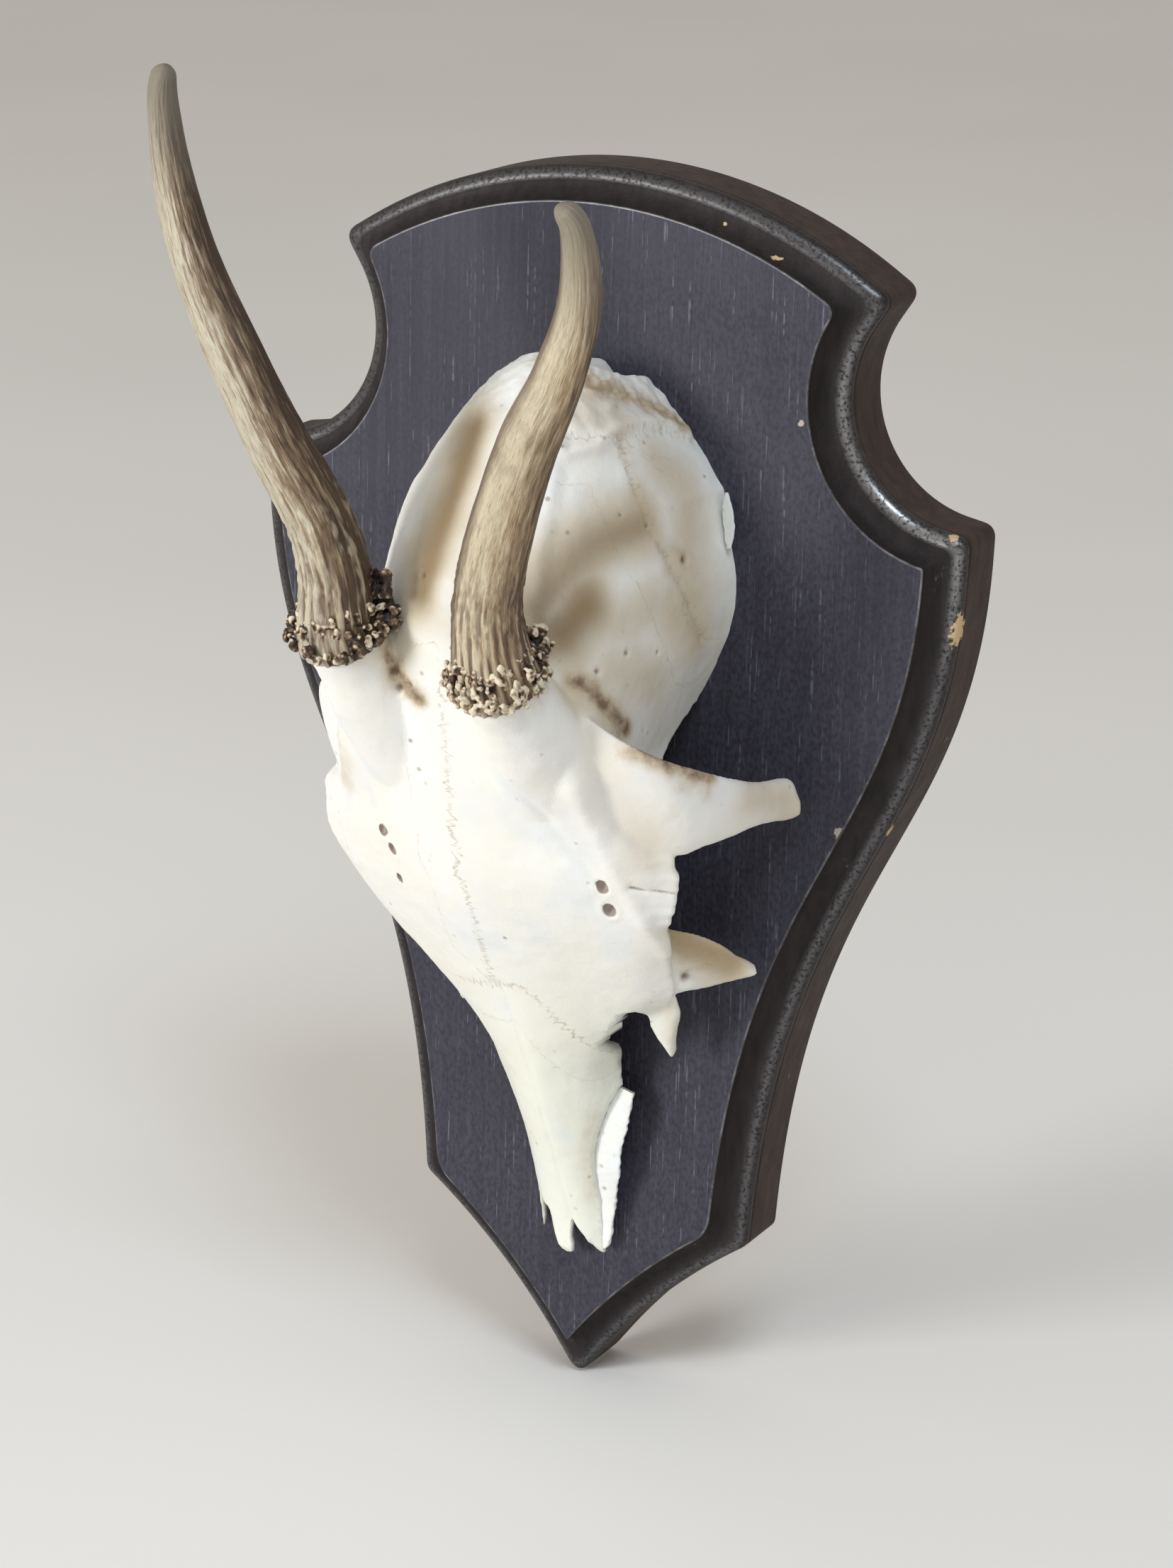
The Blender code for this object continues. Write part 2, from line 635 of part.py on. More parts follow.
def make_skull(group, cutters, material):
    cap = add_object("cap_skin", cap_mesh(), cutters)
    shell = cap.modifiers.new("wall", "SOLIDIFY")
    shell.thickness = BONE_WALL * MM
    shell.offset = -1.0
    cap_solid = baked(cap)
    bpy.data.objects.remove(cap, do_unlink=True)
    meshes = [cap_solid]
    for name, blade, thick in (("brow", BROW_PROCESS, BROW_THICKNESS),
                               ("lacrimal", LACRIMAL_PRONG, LACRIMAL_THICKNESS),
                               ("cheek", CHEEK_PRONG, CHEEK_THICKNESS)):
        meshes.append(blade_mesh(name + "_right", blade, thick))
        meshes.append(blade_mesh(name + "_left", mirrored(blade), thick))
    meshes.append(blade_mesh("sliver", NASAL_SLIVER, SLIVER_THICKNESS))
    meshes += antler_meshes("antler_left", -1)
    meshes += antler_meshes("antler_right", 1)
    skull = add_object("skull_and_antlers", joined("skull_and_antlers", meshes), group, material)
    fuse = skull.modifiers.new("fuse", "REMESH")
    fuse.mode = "VOXEL"
    fuse.voxel_size = VOXEL * MM
    soften = skull.modifiers.new("soften", "SMOOTH")
    soften.iterations = 2
    soften.factor = 0.5
    fused = baked(skull)
    lighten = skull.modifiers.new("lighten", "DECIMATE")
    lighten.ratio = SKULL_FACES / (2 * len(fused.polygons))
    bpy.data.meshes.remove(fused)
    cut_away(skull, "saw_cut", saw_mesh(), cutters)
    cut_away(skull, "nose_break", prism_mesh("nose_break", NOSE_BREAK), cutters)
    cut_away(skull, "notch", prism_mesh("notch", ETHMOID_NOTCH), cutters)
    return skull


def main():
    remove_old_objects()
    parts = make_collection("antler_mounting_plaque")
    cutters = make_collection("cutters")
    wood = make_material("stained_wood", (0.035, 0.026, 0.028), 0.45)
    bone = make_material("bone", (0.72, 0.68, 0.58), 0.6)
    make_board(parts, wood)
    make_skull(parts, cutters, bone)


main()
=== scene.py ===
"""Looks of the antler mounting plaque: stained shield, bleached skull cap, and two spike antlers.

Board points are (x, h, z) in millimetres: x to the viewer's right, h out from the board's face,
z up from the foot of the flat face. The skull has its own frame (a, b, c): a to the right of its
midline, b up from its sawn underside, c along the board.
"""

import math

import bmesh
import bpy
import numpy as np
from mathutils import Matrix, Vector, noise


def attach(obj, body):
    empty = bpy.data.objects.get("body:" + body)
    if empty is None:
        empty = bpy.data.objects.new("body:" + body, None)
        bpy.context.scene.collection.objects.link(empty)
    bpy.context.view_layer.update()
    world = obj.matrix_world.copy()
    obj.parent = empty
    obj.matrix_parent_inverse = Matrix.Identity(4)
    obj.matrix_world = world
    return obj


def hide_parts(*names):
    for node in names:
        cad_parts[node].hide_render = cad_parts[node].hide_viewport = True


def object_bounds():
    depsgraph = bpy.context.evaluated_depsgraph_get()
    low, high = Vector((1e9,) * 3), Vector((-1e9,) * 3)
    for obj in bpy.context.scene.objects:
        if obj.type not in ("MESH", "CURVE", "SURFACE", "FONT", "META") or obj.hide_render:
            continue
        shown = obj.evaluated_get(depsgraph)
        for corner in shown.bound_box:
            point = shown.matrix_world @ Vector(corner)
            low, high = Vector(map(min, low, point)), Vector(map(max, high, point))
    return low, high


MM = 0.001
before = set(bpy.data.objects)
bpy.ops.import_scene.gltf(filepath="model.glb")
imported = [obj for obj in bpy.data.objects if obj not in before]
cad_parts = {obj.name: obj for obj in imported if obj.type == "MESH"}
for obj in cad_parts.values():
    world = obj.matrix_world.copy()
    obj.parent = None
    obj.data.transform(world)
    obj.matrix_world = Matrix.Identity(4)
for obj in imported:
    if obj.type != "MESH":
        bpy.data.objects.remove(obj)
cad_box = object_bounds()


# Sizes shared with the CAD part

BOARD_THICKNESS = 18.5
FACE_HEIGHT = 226.0
TOP_CORNER_X = 48.7
TOP_CORNER_Z = 212.0
EAR_X = 67.9
EAR_Z = 167.9
SCALLOP_DEPTH = 13.1
SIDE_BULGE_X = 67.0
SIDE_BULGE_Z = 113.3
SIDE_WAIST_X = 35.3
SIDE_WAIST_Z = 108.6
FOOT_CORNER_X = 30.2
FOOT_CORNER_Z = 30.1
FOOT_HOLLOW = 1.7
COVE_WIDTH = 3.3
COVE_DEPTH = 4.1
BEAD_WIDTH = 2.6
BEAD_DEPTH = 2.2
FACE_TOP_RADIUS = 2.6
FACE_EAR_RADIUS = 0.8
FACE_FOOT_RADIUS = 8.0
FACE_TIP_RADIUS = 0.6
EDGE_RADIUS = 2.8

SEAT_GAP = 0.3
BONE_WALL = 3.0
NOSE_Z = 21.0
NOSE_X = 2.0
DRAWN_NOSE = 21.0
BROW_THICKNESS = 3.4
LACRIMAL_THICKNESS = 3.0
CHEEK_THICKNESS = 2.6
SLIVER_THICKNESS = 1.0
PEDICLE_RADIUS = 7.2
BEAM_RADIUS = 6.3
TIP_RADIUS = 1.9

# How far the skull leans over, to the viewer's left
CUT_ROLL = math.radians(6.0)
ROLL_COS = math.cos(CUT_ROLL)
ROLL_SIN = math.sin(CUT_ROLL)

# Fineness of the looks
SKULL_VOXEL = 0.5
SKULL_TRIANGLES = 190000
BURR_VOXEL = 0.26
BEAM_RINGS = 420
BEAM_SIDES = 120


# Small tools

def mesh_from(name, points, faces):
    mesh = bpy.data.meshes.new(name)
    mesh.from_pydata([tuple(p) for p in points], [], faces)
    mesh.update()
    return mesh


def show(name, mesh):
    piece = bpy.data.objects.new(name, mesh)
    bpy.context.scene.collection.objects.link(piece)
    return piece


def with_modifiers(mesh, *steps):
    """The mesh after the given modifiers: each is (kind, {setting: value})."""
    holder = show("holder", mesh)
    for kind, settings in steps:
        modifier = holder.modifiers.new(kind, kind)
        for key, value in settings.items():
            setattr(modifier, key, value)
    graph = bpy.context.evaluated_depsgraph_get()
    graph.update()
    result = bpy.data.meshes.new_from_object(holder.evaluated_get(graph), preserve_all_data_layers=True,
                                             depsgraph=graph)
    bpy.data.objects.remove(holder, do_unlink=True)
    bpy.data.meshes.remove(mesh)
    return result


def remeshed(mesh, voxel, rounds):
    """One skin round everything in the mesh, smoothed a few rounds."""
    return with_modifiers(mesh, ("REMESH", {"mode": "VOXEL", "voxel_size": voxel * MM}),
                          ("SMOOTH", {"factor": 0.5, "iterations": rounds}))


def finished(name, shape):
    """The bmesh as a mesh of that name."""
    mesh = bpy.data.meshes.new(name)
    shape.to_mesh(mesh)
    shape.free()
    return mesh


def joined(name, meshes):
    whole = bmesh.new()
    for mesh in meshes:
        whole.from_mesh(mesh)
        bpy.data.meshes.remove(mesh)
    bmesh.ops.recalc_face_normals(whole, faces=whole.faces)
    return finished(name, whole)


def without_strays(mesh):
    """Drops faces that lie back to back on the same points, then all but the largest shell."""
    shape = bmesh.new()
    shape.from_mesh(mesh)
    by_points = {}
    for face in shape.faces:
        by_points.setdefault(frozenset(v.index for v in face.verts), []).append(face)
    doubles = [face for faces in by_points.values() if len(faces) > 1 for face in faces]
    bmesh.ops.delete(shape, geom=doubles, context="FACES")
    for point in shape.verts:
        point.tag = False
    largest, crumbs = [], []
    for start in shape.verts:
        if start.tag:
            continue
        start.tag = True
        shell = [start]
        for point in shell:
            for edge in point.link_edges:
                other = edge.other_vert(point)
                if not other.tag:
                    other.tag = True
                    shell.append(other)
        if len(shell) > len(largest):
            largest, shell = shell, largest
        crumbs += shell
    bmesh.ops.delete(shape, geom=crumbs, context="VERTS")
    shape.to_mesh(mesh)
    shape.free()
    return mesh


def triples(items, key):
    flat = np.empty(len(items) * 3)
    items.foreach_get(key, flat)
    return flat.reshape(-1, 3)


def surface(mesh):
    """Points and normals of a mesh, and its points in the skull's frame."""
    points = triples(mesh.vertices, "co")
    return points, triples(mesh.vertex_normals, "vector"), skull_frame(points)


def set_points(mesh, points):
    mesh.vertices.foreach_set("co", np.ascontiguousarray(points, dtype=np.float32).ravel())
    mesh.update()


def add_attributes(mesh, **layers):
    """A number for each point under each name, or the same number for all of them."""
    for name, values in layers.items():
        layer = mesh.attributes.new(name, "FLOAT", "POINT")
        values = np.broadcast_to(values, len(mesh.vertices))
        layer.data.foreach_set("value", np.ascontiguousarray(values, dtype=np.float32))


def bell(distance, width, power=2):
    """1 at distance 0, fading to nothing past the width."""
    return np.exp(-(distance / width) ** power)


def tube_faces(rows, sides):
    """Faces of a closed tube made of rings: its first end, its sides and its last end."""
    last = (rows - 1) * sides
    faces = [list(range(sides))[::-1]]
    for start in range(0, last, sides):
        for k in range(sides):
            n = (k + 1) % sides
            faces.append([start + k, start + n, start + sides + n, start + sides + k])
    return faces + [list(range(last, last + sides))]


def grain(points, size, seed=0.0):
    """Smooth noise from -1 to 1 at millimetre points; size is that of one lump."""
    scaled = np.asarray(points) / size + seed
    return np.fromiter((noise.noise(Vector(p)) for p in scaled), float, len(scaled))


def step(low, high, value):
    t = np.clip((value - low) / (high - low), 0.0, 1.0)
    return t * t * (3 - 2 * t)


def smooth_table(table, at):
    rows = np.array(table, float)
    rows = rows[np.argsort(rows[:, 0])]
    x, y = rows[:, 0], rows[:, 1:]
    slope = np.gradient(y, x, axis=0)
    at = np.clip(np.atleast_1d(at), x[0], x[-1])
    i = np.clip(np.searchsorted(x, at, side="right") - 1, 0, len(x) - 2)
    width = (x[i + 1] - x[i])
    t = ((at - x[i]) / width)[:, None]
    width = width[:, None]
    return ((2 * t ** 3 - 3 * t ** 2 + 1) * y[i] + (t ** 3 - 2 * t ** 2 + t) * width * slope[i]
            + (-2 * t ** 3 + 3 * t ** 2) * y[i + 1] + (t ** 3 - t ** 2) * width * slope[i + 1])


def curve_through(points, t):
    points = np.array(points, float)
    table = np.concatenate([np.linspace(0, 1, len(points))[:, None], points], axis=1)
    return smooth_table(table, t)


def along_line(points, line):
    """For each point: distance to the line, how far along it, and the offset from it."""
    line = np.array(line, float)
    best = np.full(len(points), 1e9)
    place_on = np.zeros(len(points))
    offset = np.zeros_like(points)
    heading = np.zeros_like(points)
    start = 0.0
    for p, q in zip(line[:-1], line[1:]):
        run = q - p
        length = np.linalg.norm(run)
        t = np.clip(((points - p) @ run) / length ** 2, 0.0, 1.0)
        away = points - (p + t[:, None] * run)
        distance = np.linalg.norm(away, axis=1)
        nearer = distance < best
        best = np.where(nearer, distance, best)
        place_on = np.where(nearer, start + t * length, place_on)
        offset[nearer] = away[nearer]
        heading[nearer] = run / length
        start += length
    return best, place_on, offset, heading


# Board

def arc_through(start, end, sagitta, count=90):
    start, end = np.array(start, float), np.array(end, float)
    chord = end - start
    length = np.linalg.norm(chord)
    side = np.array([-chord[1], chord[0]]) / length
    radius = (length * length / 4 + sagitta * sagitta) / (2 * sagitta)
    centre = (start + end) / 2 + side * (sagitta - radius)
    crown = (start + end) / 2 + side * sagitta
    middle = math.atan2(*(crown - centre)[::-1])

    def near_middle(point):
        angle = math.atan2(*(point - centre)[::-1])
        return middle + (angle - middle + math.pi) % (2 * math.pi) - math.pi

    angles = np.linspace(near_middle(start), near_middle(end), count)
    return centre + abs(radius) * np.stack([np.cos(angles), np.sin(angles)], 1)


def cubic(p, a, b, q, count=140):
    t = np.linspace(0, 1, count)[:, None]
    p, a, b, q = (np.array(v, float) for v in (p, a, b, q))
    return (1 - t) ** 3 * p + 3 * (1 - t) ** 2 * t * a + 3 * (1 - t) * t * t * b + t ** 3 * q


def face_outline():
    rise = FACE_HEIGHT - TOP_CORNER_Z
    top_radius = (TOP_CORNER_X ** 2 + rise ** 2) / (2 * rise)
    angles = np.linspace(0, math.asin(TOP_CORNER_X / top_radius), 90)
    top = np.stack([top_radius * np.sin(angles),
                    FACE_HEIGHT - top_radius + top_radius * np.cos(angles)], 1)
    scallop = arc_through((TOP_CORNER_X, TOP_CORNER_Z), (EAR_X, EAR_Z), -SCALLOP_DEPTH)
    side = cubic((EAR_X, EAR_Z), (SIDE_BULGE_X, SIDE_BULGE_Z),
                 (SIDE_WAIST_X, SIDE_WAIST_Z), (FOOT_CORNER_X, FOOT_CORNER_Z))
    foot = arc_through((FOOT_CORNER_X, FOOT_CORNER_Z), (0, 0), -FOOT_HOLLOW)
    return [top, scallop, side, foot]


def outset(run, distance):
    way = np.gradient(run, axis=0)
    way /= np.linalg.norm(way, axis=1)[:, None]
    return run + np.stack([-way[:, 1], way[:, 0]], 1) * distance


def extended(run, length=25.0):
    first = run[0] - run[1]
    last = run[-1] - run[-2]
    return np.concatenate([[run[0] + first / np.linalg.norm(first) * length], run,
                           [run[-1] + last / np.linalg.norm(last) * length]])


def cross(a, b):
    best = None
    for i in range(len(a) - 1):
        p, r = a[i], a[i + 1] - a[i]
        q, s = b[:-1], b[1:] - b[:-1]
        det = r[0] * s[:, 1] - r[1] * s[:, 0]
        det = np.where(abs(det) < 1e-12, 1e-12, det)
        t = ((q - p)[:, 0] * s[:, 1] - (q - p)[:, 1] * s[:, 0]) / det
        u = ((q - p)[:, 0] * r[1] - (q - p)[:, 1] * r[0]) / det
        for j in np.nonzero((t >= 0) & (t < 1) & (u >= 0) & (u < 1))[0]:
            score = (len(a) - i) + j
            if best is None or score < best[0]:
                best = (score, i, int(j), p + t[j] * r)
    return best[1:]


def without_repeats(run):
    return run[np.r_[True, np.linalg.norm(np.diff(run, axis=0), axis=1) > 1e-6]]


def resample(run, count, start=0.0, end=None):
    length = np.r_[0, np.cumsum(np.linalg.norm(np.diff(run, axis=0), axis=1))]
    end = length[-1] if end is None else end
    at = np.linspace(start, end, count)
    return np.stack([np.interp(at, length, run[:, k]) for k in range(2)], 1)


RUN_POINTS = (48, 44, 90, 36)
CORNER_POINTS = 8


def ring(distance, radii):
    runs = [outset(run, distance) for run in face_outline()]
    left_top = runs[0][::-1] * [-1, 1]
    mirrored_foot = runs[3][::-1] * [-1, 1]
    chain = [np.concatenate([left_top[:-1], runs[0]]), runs[1], runs[2], runs[3], mirrored_foot]
    chain = [extended(run) for run in chain]
    for k in range(4):
        i, j, corner = cross(chain[k], chain[k + 1])
        chain[k] = without_repeats(np.concatenate([chain[k][:i + 1], [corner]]))
        chain[k + 1] = without_repeats(np.concatenate([[corner], chain[k + 1][j + 1:]]))
    top = chain[0]
    top = top[top[:, 0] >= 0]
    chain = [without_repeats(np.concatenate([[[0.0, top[0, 1]]], top]))] + chain[1:4]
    lengths = [np.linalg.norm(np.diff(run, axis=0), axis=1).sum() for run in chain]
    cuts = []
    for k in range(4):
        before = chain[k][-1] - chain[k][-2]
        after = chain[k + 1][1] - chain[k + 1][0] if k < 3 else before * [1, -1]
        turn = math.acos(np.clip(before @ after / np.linalg.norm(before) / np.linalg.norm(after), -1, 1))
        cuts.append(radii[k] * math.tan(turn / 2))
    half = []
    for k, run in enumerate(chain):
        start = cuts[k - 1] if k else 0.0
        half.append(resample(run, RUN_POINTS[k], start, lengths[k] - cuts[k]))
        corner = run[-1]
        if k < 3:
            following = resample(chain[k + 1], 2, cuts[k], lengths[k + 1])[0]
        else:
            following = half[-1][-1] * [-1, 1]
        t = np.linspace(0, 1, CORNER_POINTS + 2)[1:-1, None]
        half.append((1 - t) ** 2 * half[-1][-1] + 2 * (1 - t) * t * corner + t * t * following)
    right = np.concatenate(half)
    right = right[:len(right) - CORNER_POINTS // 2]
    return np.concatenate([right, right[1:][::-1] * [-1, 1]])


def board_point(x, h, z):
    return Vector((x * MM, (-BOARD_THICKNESS - h) * MM, (z - EAR_Z) * MM))


ARRIS = 0.35
COVE_STEPS = 14
BEAD_STEPS = 12
# The small groove under the bead: how deep it goes in, and where it starts, runs and ends below the bead
QUIRK = 0.35
QUIRK_DEPTHS = (0.25, 0.5, 0.75, 1.1)
SIDE_SHARES = (0.25, 0.5, 0.75)
BACK_EASE = 0.5
BOARD_SHARP = math.radians(40)
# The polished strip along the bead: how far from the cove, and how wide
CREST_AT = 1.45
CREST_WIDTH = 0.75


def board_levels():
    """Down the moulding: (distance outside the face's edge, depth, zone); zones 0 face, 1 cove,
    2 bead, 3 side and back, 4 arris."""
    levels = [(-ARRIS, 0.0, 0), (-ARRIS * 0.35, ARRIS * 0.12, 4), (0.0, ARRIS * 0.6, 4)]
    for angle in np.linspace(0, math.pi / 2, COVE_STEPS + 1)[1:]:
        levels.append((COVE_WIDTH * (1 - math.cos(angle)), COVE_DEPTH * math.sin(angle), 1))
    for angle in np.linspace(0, math.pi / 2, BEAD_STEPS + 1)[1:]:
        levels.append((COVE_WIDTH + BEAD_WIDTH * math.sin(angle),
                       COVE_DEPTH + BEAD_DEPTH * (1 - math.cos(angle)), 2))
    reach = COVE_WIDTH + BEAD_WIDTH
    low = COVE_DEPTH + BEAD_DEPTH
    for inset, down, zone in zip((0.0, QUIRK, QUIRK, 0.0), QUIRK_DEPTHS, (2, 3, 3, 3)):
        levels.append((reach - inset, low + down, zone))
    low += QUIRK_DEPTHS[-1]
    levels += [(reach, low + (BOARD_THICKNESS - low - BACK_EASE) * share, 3) for share in SIDE_SHARES]
    return levels + [(reach, BOARD_THICKNESS - BACK_EASE, 3), (reach - BACK_EASE, BOARD_THICKNESS, 3)]


def board_mesh():
    inner = ring(0.0, (FACE_TOP_RADIUS, FACE_EAR_RADIUS, FACE_FOOT_RADIUS, FACE_TIP_RADIUS))
    outer = ring(COVE_WIDTH + BEAD_WIDTH, (EDGE_RADIUS,) * 4)
    count = len(inner)
    points, zones, crest = [], [], []
    for distance, depth, zone in board_levels():
        crest += [bell(distance - COVE_WIDTH - CREST_AT, CREST_WIDTH)] * count
        share = distance / (COVE_WIDTH + BEAD_WIDTH)
        points += [board_point(x, -depth, z) for x, z in inner * (1 - share) + outer * share]
        zones.append(zone)
    rows = len(zones)
    faces, slots = [list(range(count))[::-1]], [0]
    for row in range(rows - 1):
        for k in range(count):
            n = (k + 1) % count
            a, b = row * count, (row + 1) * count
            faces.append([a + n, b + n, b + k, a + k])
            slots.append(zones[row + 1])
    faces.append(list(range((rows - 1) * count, rows * count)))
    slots.append(3)
    mesh = mesh_from("board", points, faces)
    mesh.polygons.foreach_set("material_index", slots)
    add_attributes(mesh, crest=crest)
    mesh.shade_smooth()
    mesh.set_sharp_from_angle(angle=BOARD_SHARP)
    return mesh


# Skull cap

RIM_BASE = -6.0
CAP_STATIONS = [
    (202, 16, 8, 12.6, 10, 10, RIM_BASE),
    (199, 22, 11.8, 16.6, 16.6, 16.6, RIM_BASE),
    (195, 27.4, 15.4, 20.2, 21.8, 21.8, RIM_BASE),
    (189, 33, 18.2, 23.6, 24.4, 24.4, RIM_BASE),
    (181, 40, 19.2, 28.2, 25.9, 25.9, RIM_BASE),
    (171, 47, 20.4, 33.2, 27.6, 27.2, RIM_BASE),
    (161, 50.4, 21.6, 35.6, 29.8, 29.4, RIM_BASE),
    (152, 50.2, 22.2, 37.5, 29, 28.8, RIM_BASE),
    (144, 48.2, 24.2, 42, 26, 25.6, -5),
    (137, 46.4, 26.4, 42.2, 23.6, 22.6, -2),
    (130, 44.6, 27.6, 40.6, 24.5, 23, 8),
    (124, 43.2, 28, 38.2, 31, 28.6, 21),
    (118, 42.2, 28.2, 35.8, 40.6, 37.4, 27.5),
    (112, 40.8, 27.8, 34, 42.6, 38.4, 26.5),
    (105, 38.2, 27, 31.2, 42.4, 36.8, 25.3),
    (98, 34.5, 25.8, 28, 39.5, 33.8, 22.5),
    (91, 30, 24.2, 24, 36.8, 31.8, 18.5),
    (84, 25.7, 21.8, 19.8, 34.2, 29.6, 14),
    (77, 22.2, 17, 16.5, 28.4, 22, 10),
    (71, 19.8, 12, 14.5, 23.4, 16, 8),
    (64, 17, 8.5, 12.8, 19.2, 13, 5.5),
    (56, 14, 7, 10.8, 15.8, 12.8, 4),
    (47, 10.6, 6, 8.2, 12.4, 10.8, 3),
    (37, 7.2, 5.2, 5.8, 9.6, 9.4, 2.2),
    (28, 5, 4.6, 4.2, 7.8, 8.4, 1.8),
    (19, 4.2, 4.2, 3.6, 6.6, 7.8, 1.6),
]
NUCHAL_START = 177.0
NUCHAL_REACH = 25.0
NUCHAL_HALF_WIDTH = 16.0
NUCHAL_ARCH = 7.0
NUCHAL_HEIGHT = 20.0
NUCHAL_LEAN = 3.5
BACK_WALL = ((0.6, -2.2), (0.25, -3.6))
CAP_ROWS = 240
CAP_COLUMNS = 70
# The broken rim of the right eye socket: where it starts and ends along the board, and how ragged it is
BROKEN_START = (97, 101)
BROKEN_END = (116, 120)
BROKEN_REACH = 1.8
# Thickness of the bone at heights along the board
WALLS = [(19, 1), (50, 1.1), (64, 1.5), (84, 2.4), (100, BONE_WALL), (202, BONE_WALL)]


def skull_point(p):
    """Millimetres in the skull's frame (a across, b out, c up) to metres in the part's frame."""
    a, b, c = p
    return board_point(NOSE_X + a * ROLL_COS - b * ROLL_SIN, a * ROLL_SIN + b * ROLL_COS,
                       NOSE_Z + c - DRAWN_NOSE)


def skull_frame(points):
    """Metres in the part's frame to (a, b, c) millimetres in the skull's."""
    x = points[:, 0] / MM - NOSE_X
    h = -points[:, 1] / MM - BOARD_THICKNESS
    c = points[:, 2] / MM + EAR_Z - NOSE_Z + DRAWN_NOSE
    return np.stack([x * ROLL_COS + h * ROLL_SIN, -x * ROLL_SIN + h * ROLL_COS, c], 1)


def cap_section(station, columns):
    crown, shoulder_a, shoulder_b, rim_left, rim_right, rim_b = station
    left_shoulder = shoulder_a * (1 + rim_left / rim_right) / 2
    through = [(-rim_left, rim_b), (-left_shoulder, shoulder_b), (0.0, crown),
               (shoulder_a, shoulder_b), (rim_right, rim_b)]
    return curve_through(through, (columns + 1) / 2)


def cap_mesh():
    rows = np.linspace(CAP_STATIONS[-1][0], CAP_STATIONS[0][0], CAP_ROWS)
    columns = np.linspace(-1, 1, 2 * CAP_COLUMNS + 1)
    values = smooth_table(CAP_STATIONS, rows)
    jag = np.array([noise.noise(Vector((row * 0.31, 3.3, 0.0)))
                    + 0.5 * noise.noise(Vector((row * 0.83, 9.1, 0.0))) for row in rows])
    values[:, 4] += jag * (step(*BROKEN_START, rows) * (1 - step(*BROKEN_END, rows))) * BROKEN_REACH
    grid = []
    for row, station in zip(rows, values):
        section = cap_section(station, columns)
        end = min(max((row - NUCHAL_START) / NUCHAL_REACH, 0.0), 1.0)
        arch = NUCHAL_ARCH * (section[:, 0] / NUCHAL_HALF_WIDTH) ** 2
        lean = NUCHAL_LEAN * np.clip(1 - section[:, 1] / NUCHAL_HEIGHT, 0.0, 1 - RIM_BASE / NUCHAL_HEIGHT)
        grid.append(np.stack([section[:, 0], section[:, 1], row - (arch + lean) * end], 1))
    crest = grid[-1]
    for share, reach in BACK_WALL:
        wall = crest.copy()
        wall[:, 0] *= share
        wall[:, 1] = RIM_BASE + (wall[:, 1] - RIM_BASE) * share
        wall[:, 2] += reach
        grid.append(wall)
    grid = np.array(grid)
    inward = np.cross(np.gradient(grid, axis=1), np.gradient(grid, axis=0))
    inward /= np.maximum(np.linalg.norm(inward, axis=2), 1e-9)[:, :, None]
    wall = np.interp(grid[:, 0, 2], [row[0] for row in WALLS], [row[1] for row in WALLS])
    inner = grid + inward * wall[:, None, None]
    rows_count, count = grid.shape[:2]
    points = [skull_point(p) for p in np.concatenate([grid.reshape(-1, 3), inner.reshape(-1, 3)])]
    size = rows_count * count
    faces = []
    for r in range(rows_count - 1):
        for k in range(count - 1):
            i = r * count + k
            faces.append([i, i + 1, i + count + 1, i + count])
            faces.append([size + i, size + i + count, size + i + count + 1, size + i + 1])
    border = list(range(count))
    border += [r * count + count - 1 for r in range(1, rows_count)]
    border += [(rows_count - 1) * count + k for k in range(count - 2, -1, -1)]
    border += [r * count for r in range(rows_count - 2, 0, -1)]
    for i, j in zip(border, border[1:] + border[:1]):
        faces.append([j, i, size + i, size + j])
    return mesh_from("cap", points, faces)


def blade_mesh(name, stations, thickness, sides=40, rows=40, fullness=1.0):
    """A closed blade of bone between two smooth edges."""
    stations = curve_through(stations, np.linspace(0, 1, rows))
    lower, upper = stations[:, :3], stations[:, 3:6]
    centre = (lower + upper) / 2
    across = (upper - lower) / 2
    along = np.gradient(centre, axis=0)
    normal = np.cross(along, across)
    normal /= np.linalg.norm(normal, axis=1)[:, None]
    points = []
    for k in range(rows):
        for angle in np.linspace(0, 2 * math.pi, sides, endpoint=False):
            wide = math.copysign(abs(math.cos(angle)) ** 0.7, math.cos(angle))
            high = math.copysign(abs(math.sin(angle)) ** fullness, math.sin(angle))
            points.append(skull_point(centre[k] + across[k] * wide + normal[k] * high * thickness / 2))
    return mesh_from(name, points, tube_faces(rows, sides))


ANTLER_PATH = [
    (15.2, 34, 133), (16.4, 43, 140.5), (17, 49.6, 147.2), (17.2, 54.7, 153.5), (16.8, 56.9, 163.6),
    (19, 59.2, 173), (24.5, 62.9, 185.2), (31, 65.6, 198.8), (37.9, 67.2, 211.2), (42.4, 68.6, 223.5),
    (43.2, 71.2, 235.8), (41, 73.3, 240.2),
]
LEFT_LATER = [0, 0.5, 1.5, 2.6, 3.3, 3.9, 3.7, 3.9, 5.5, 7.8, 10.8, 13.9]
PEDICLE_SHARES = [1.75, 1.35, 1.06, 1]
BEAM_SHARES = [1, 0.93, 0.87, 0.82, 0.69, 0.58, 0.44]
BURR_ROW = 3
PEDICLE_SIDES = 48

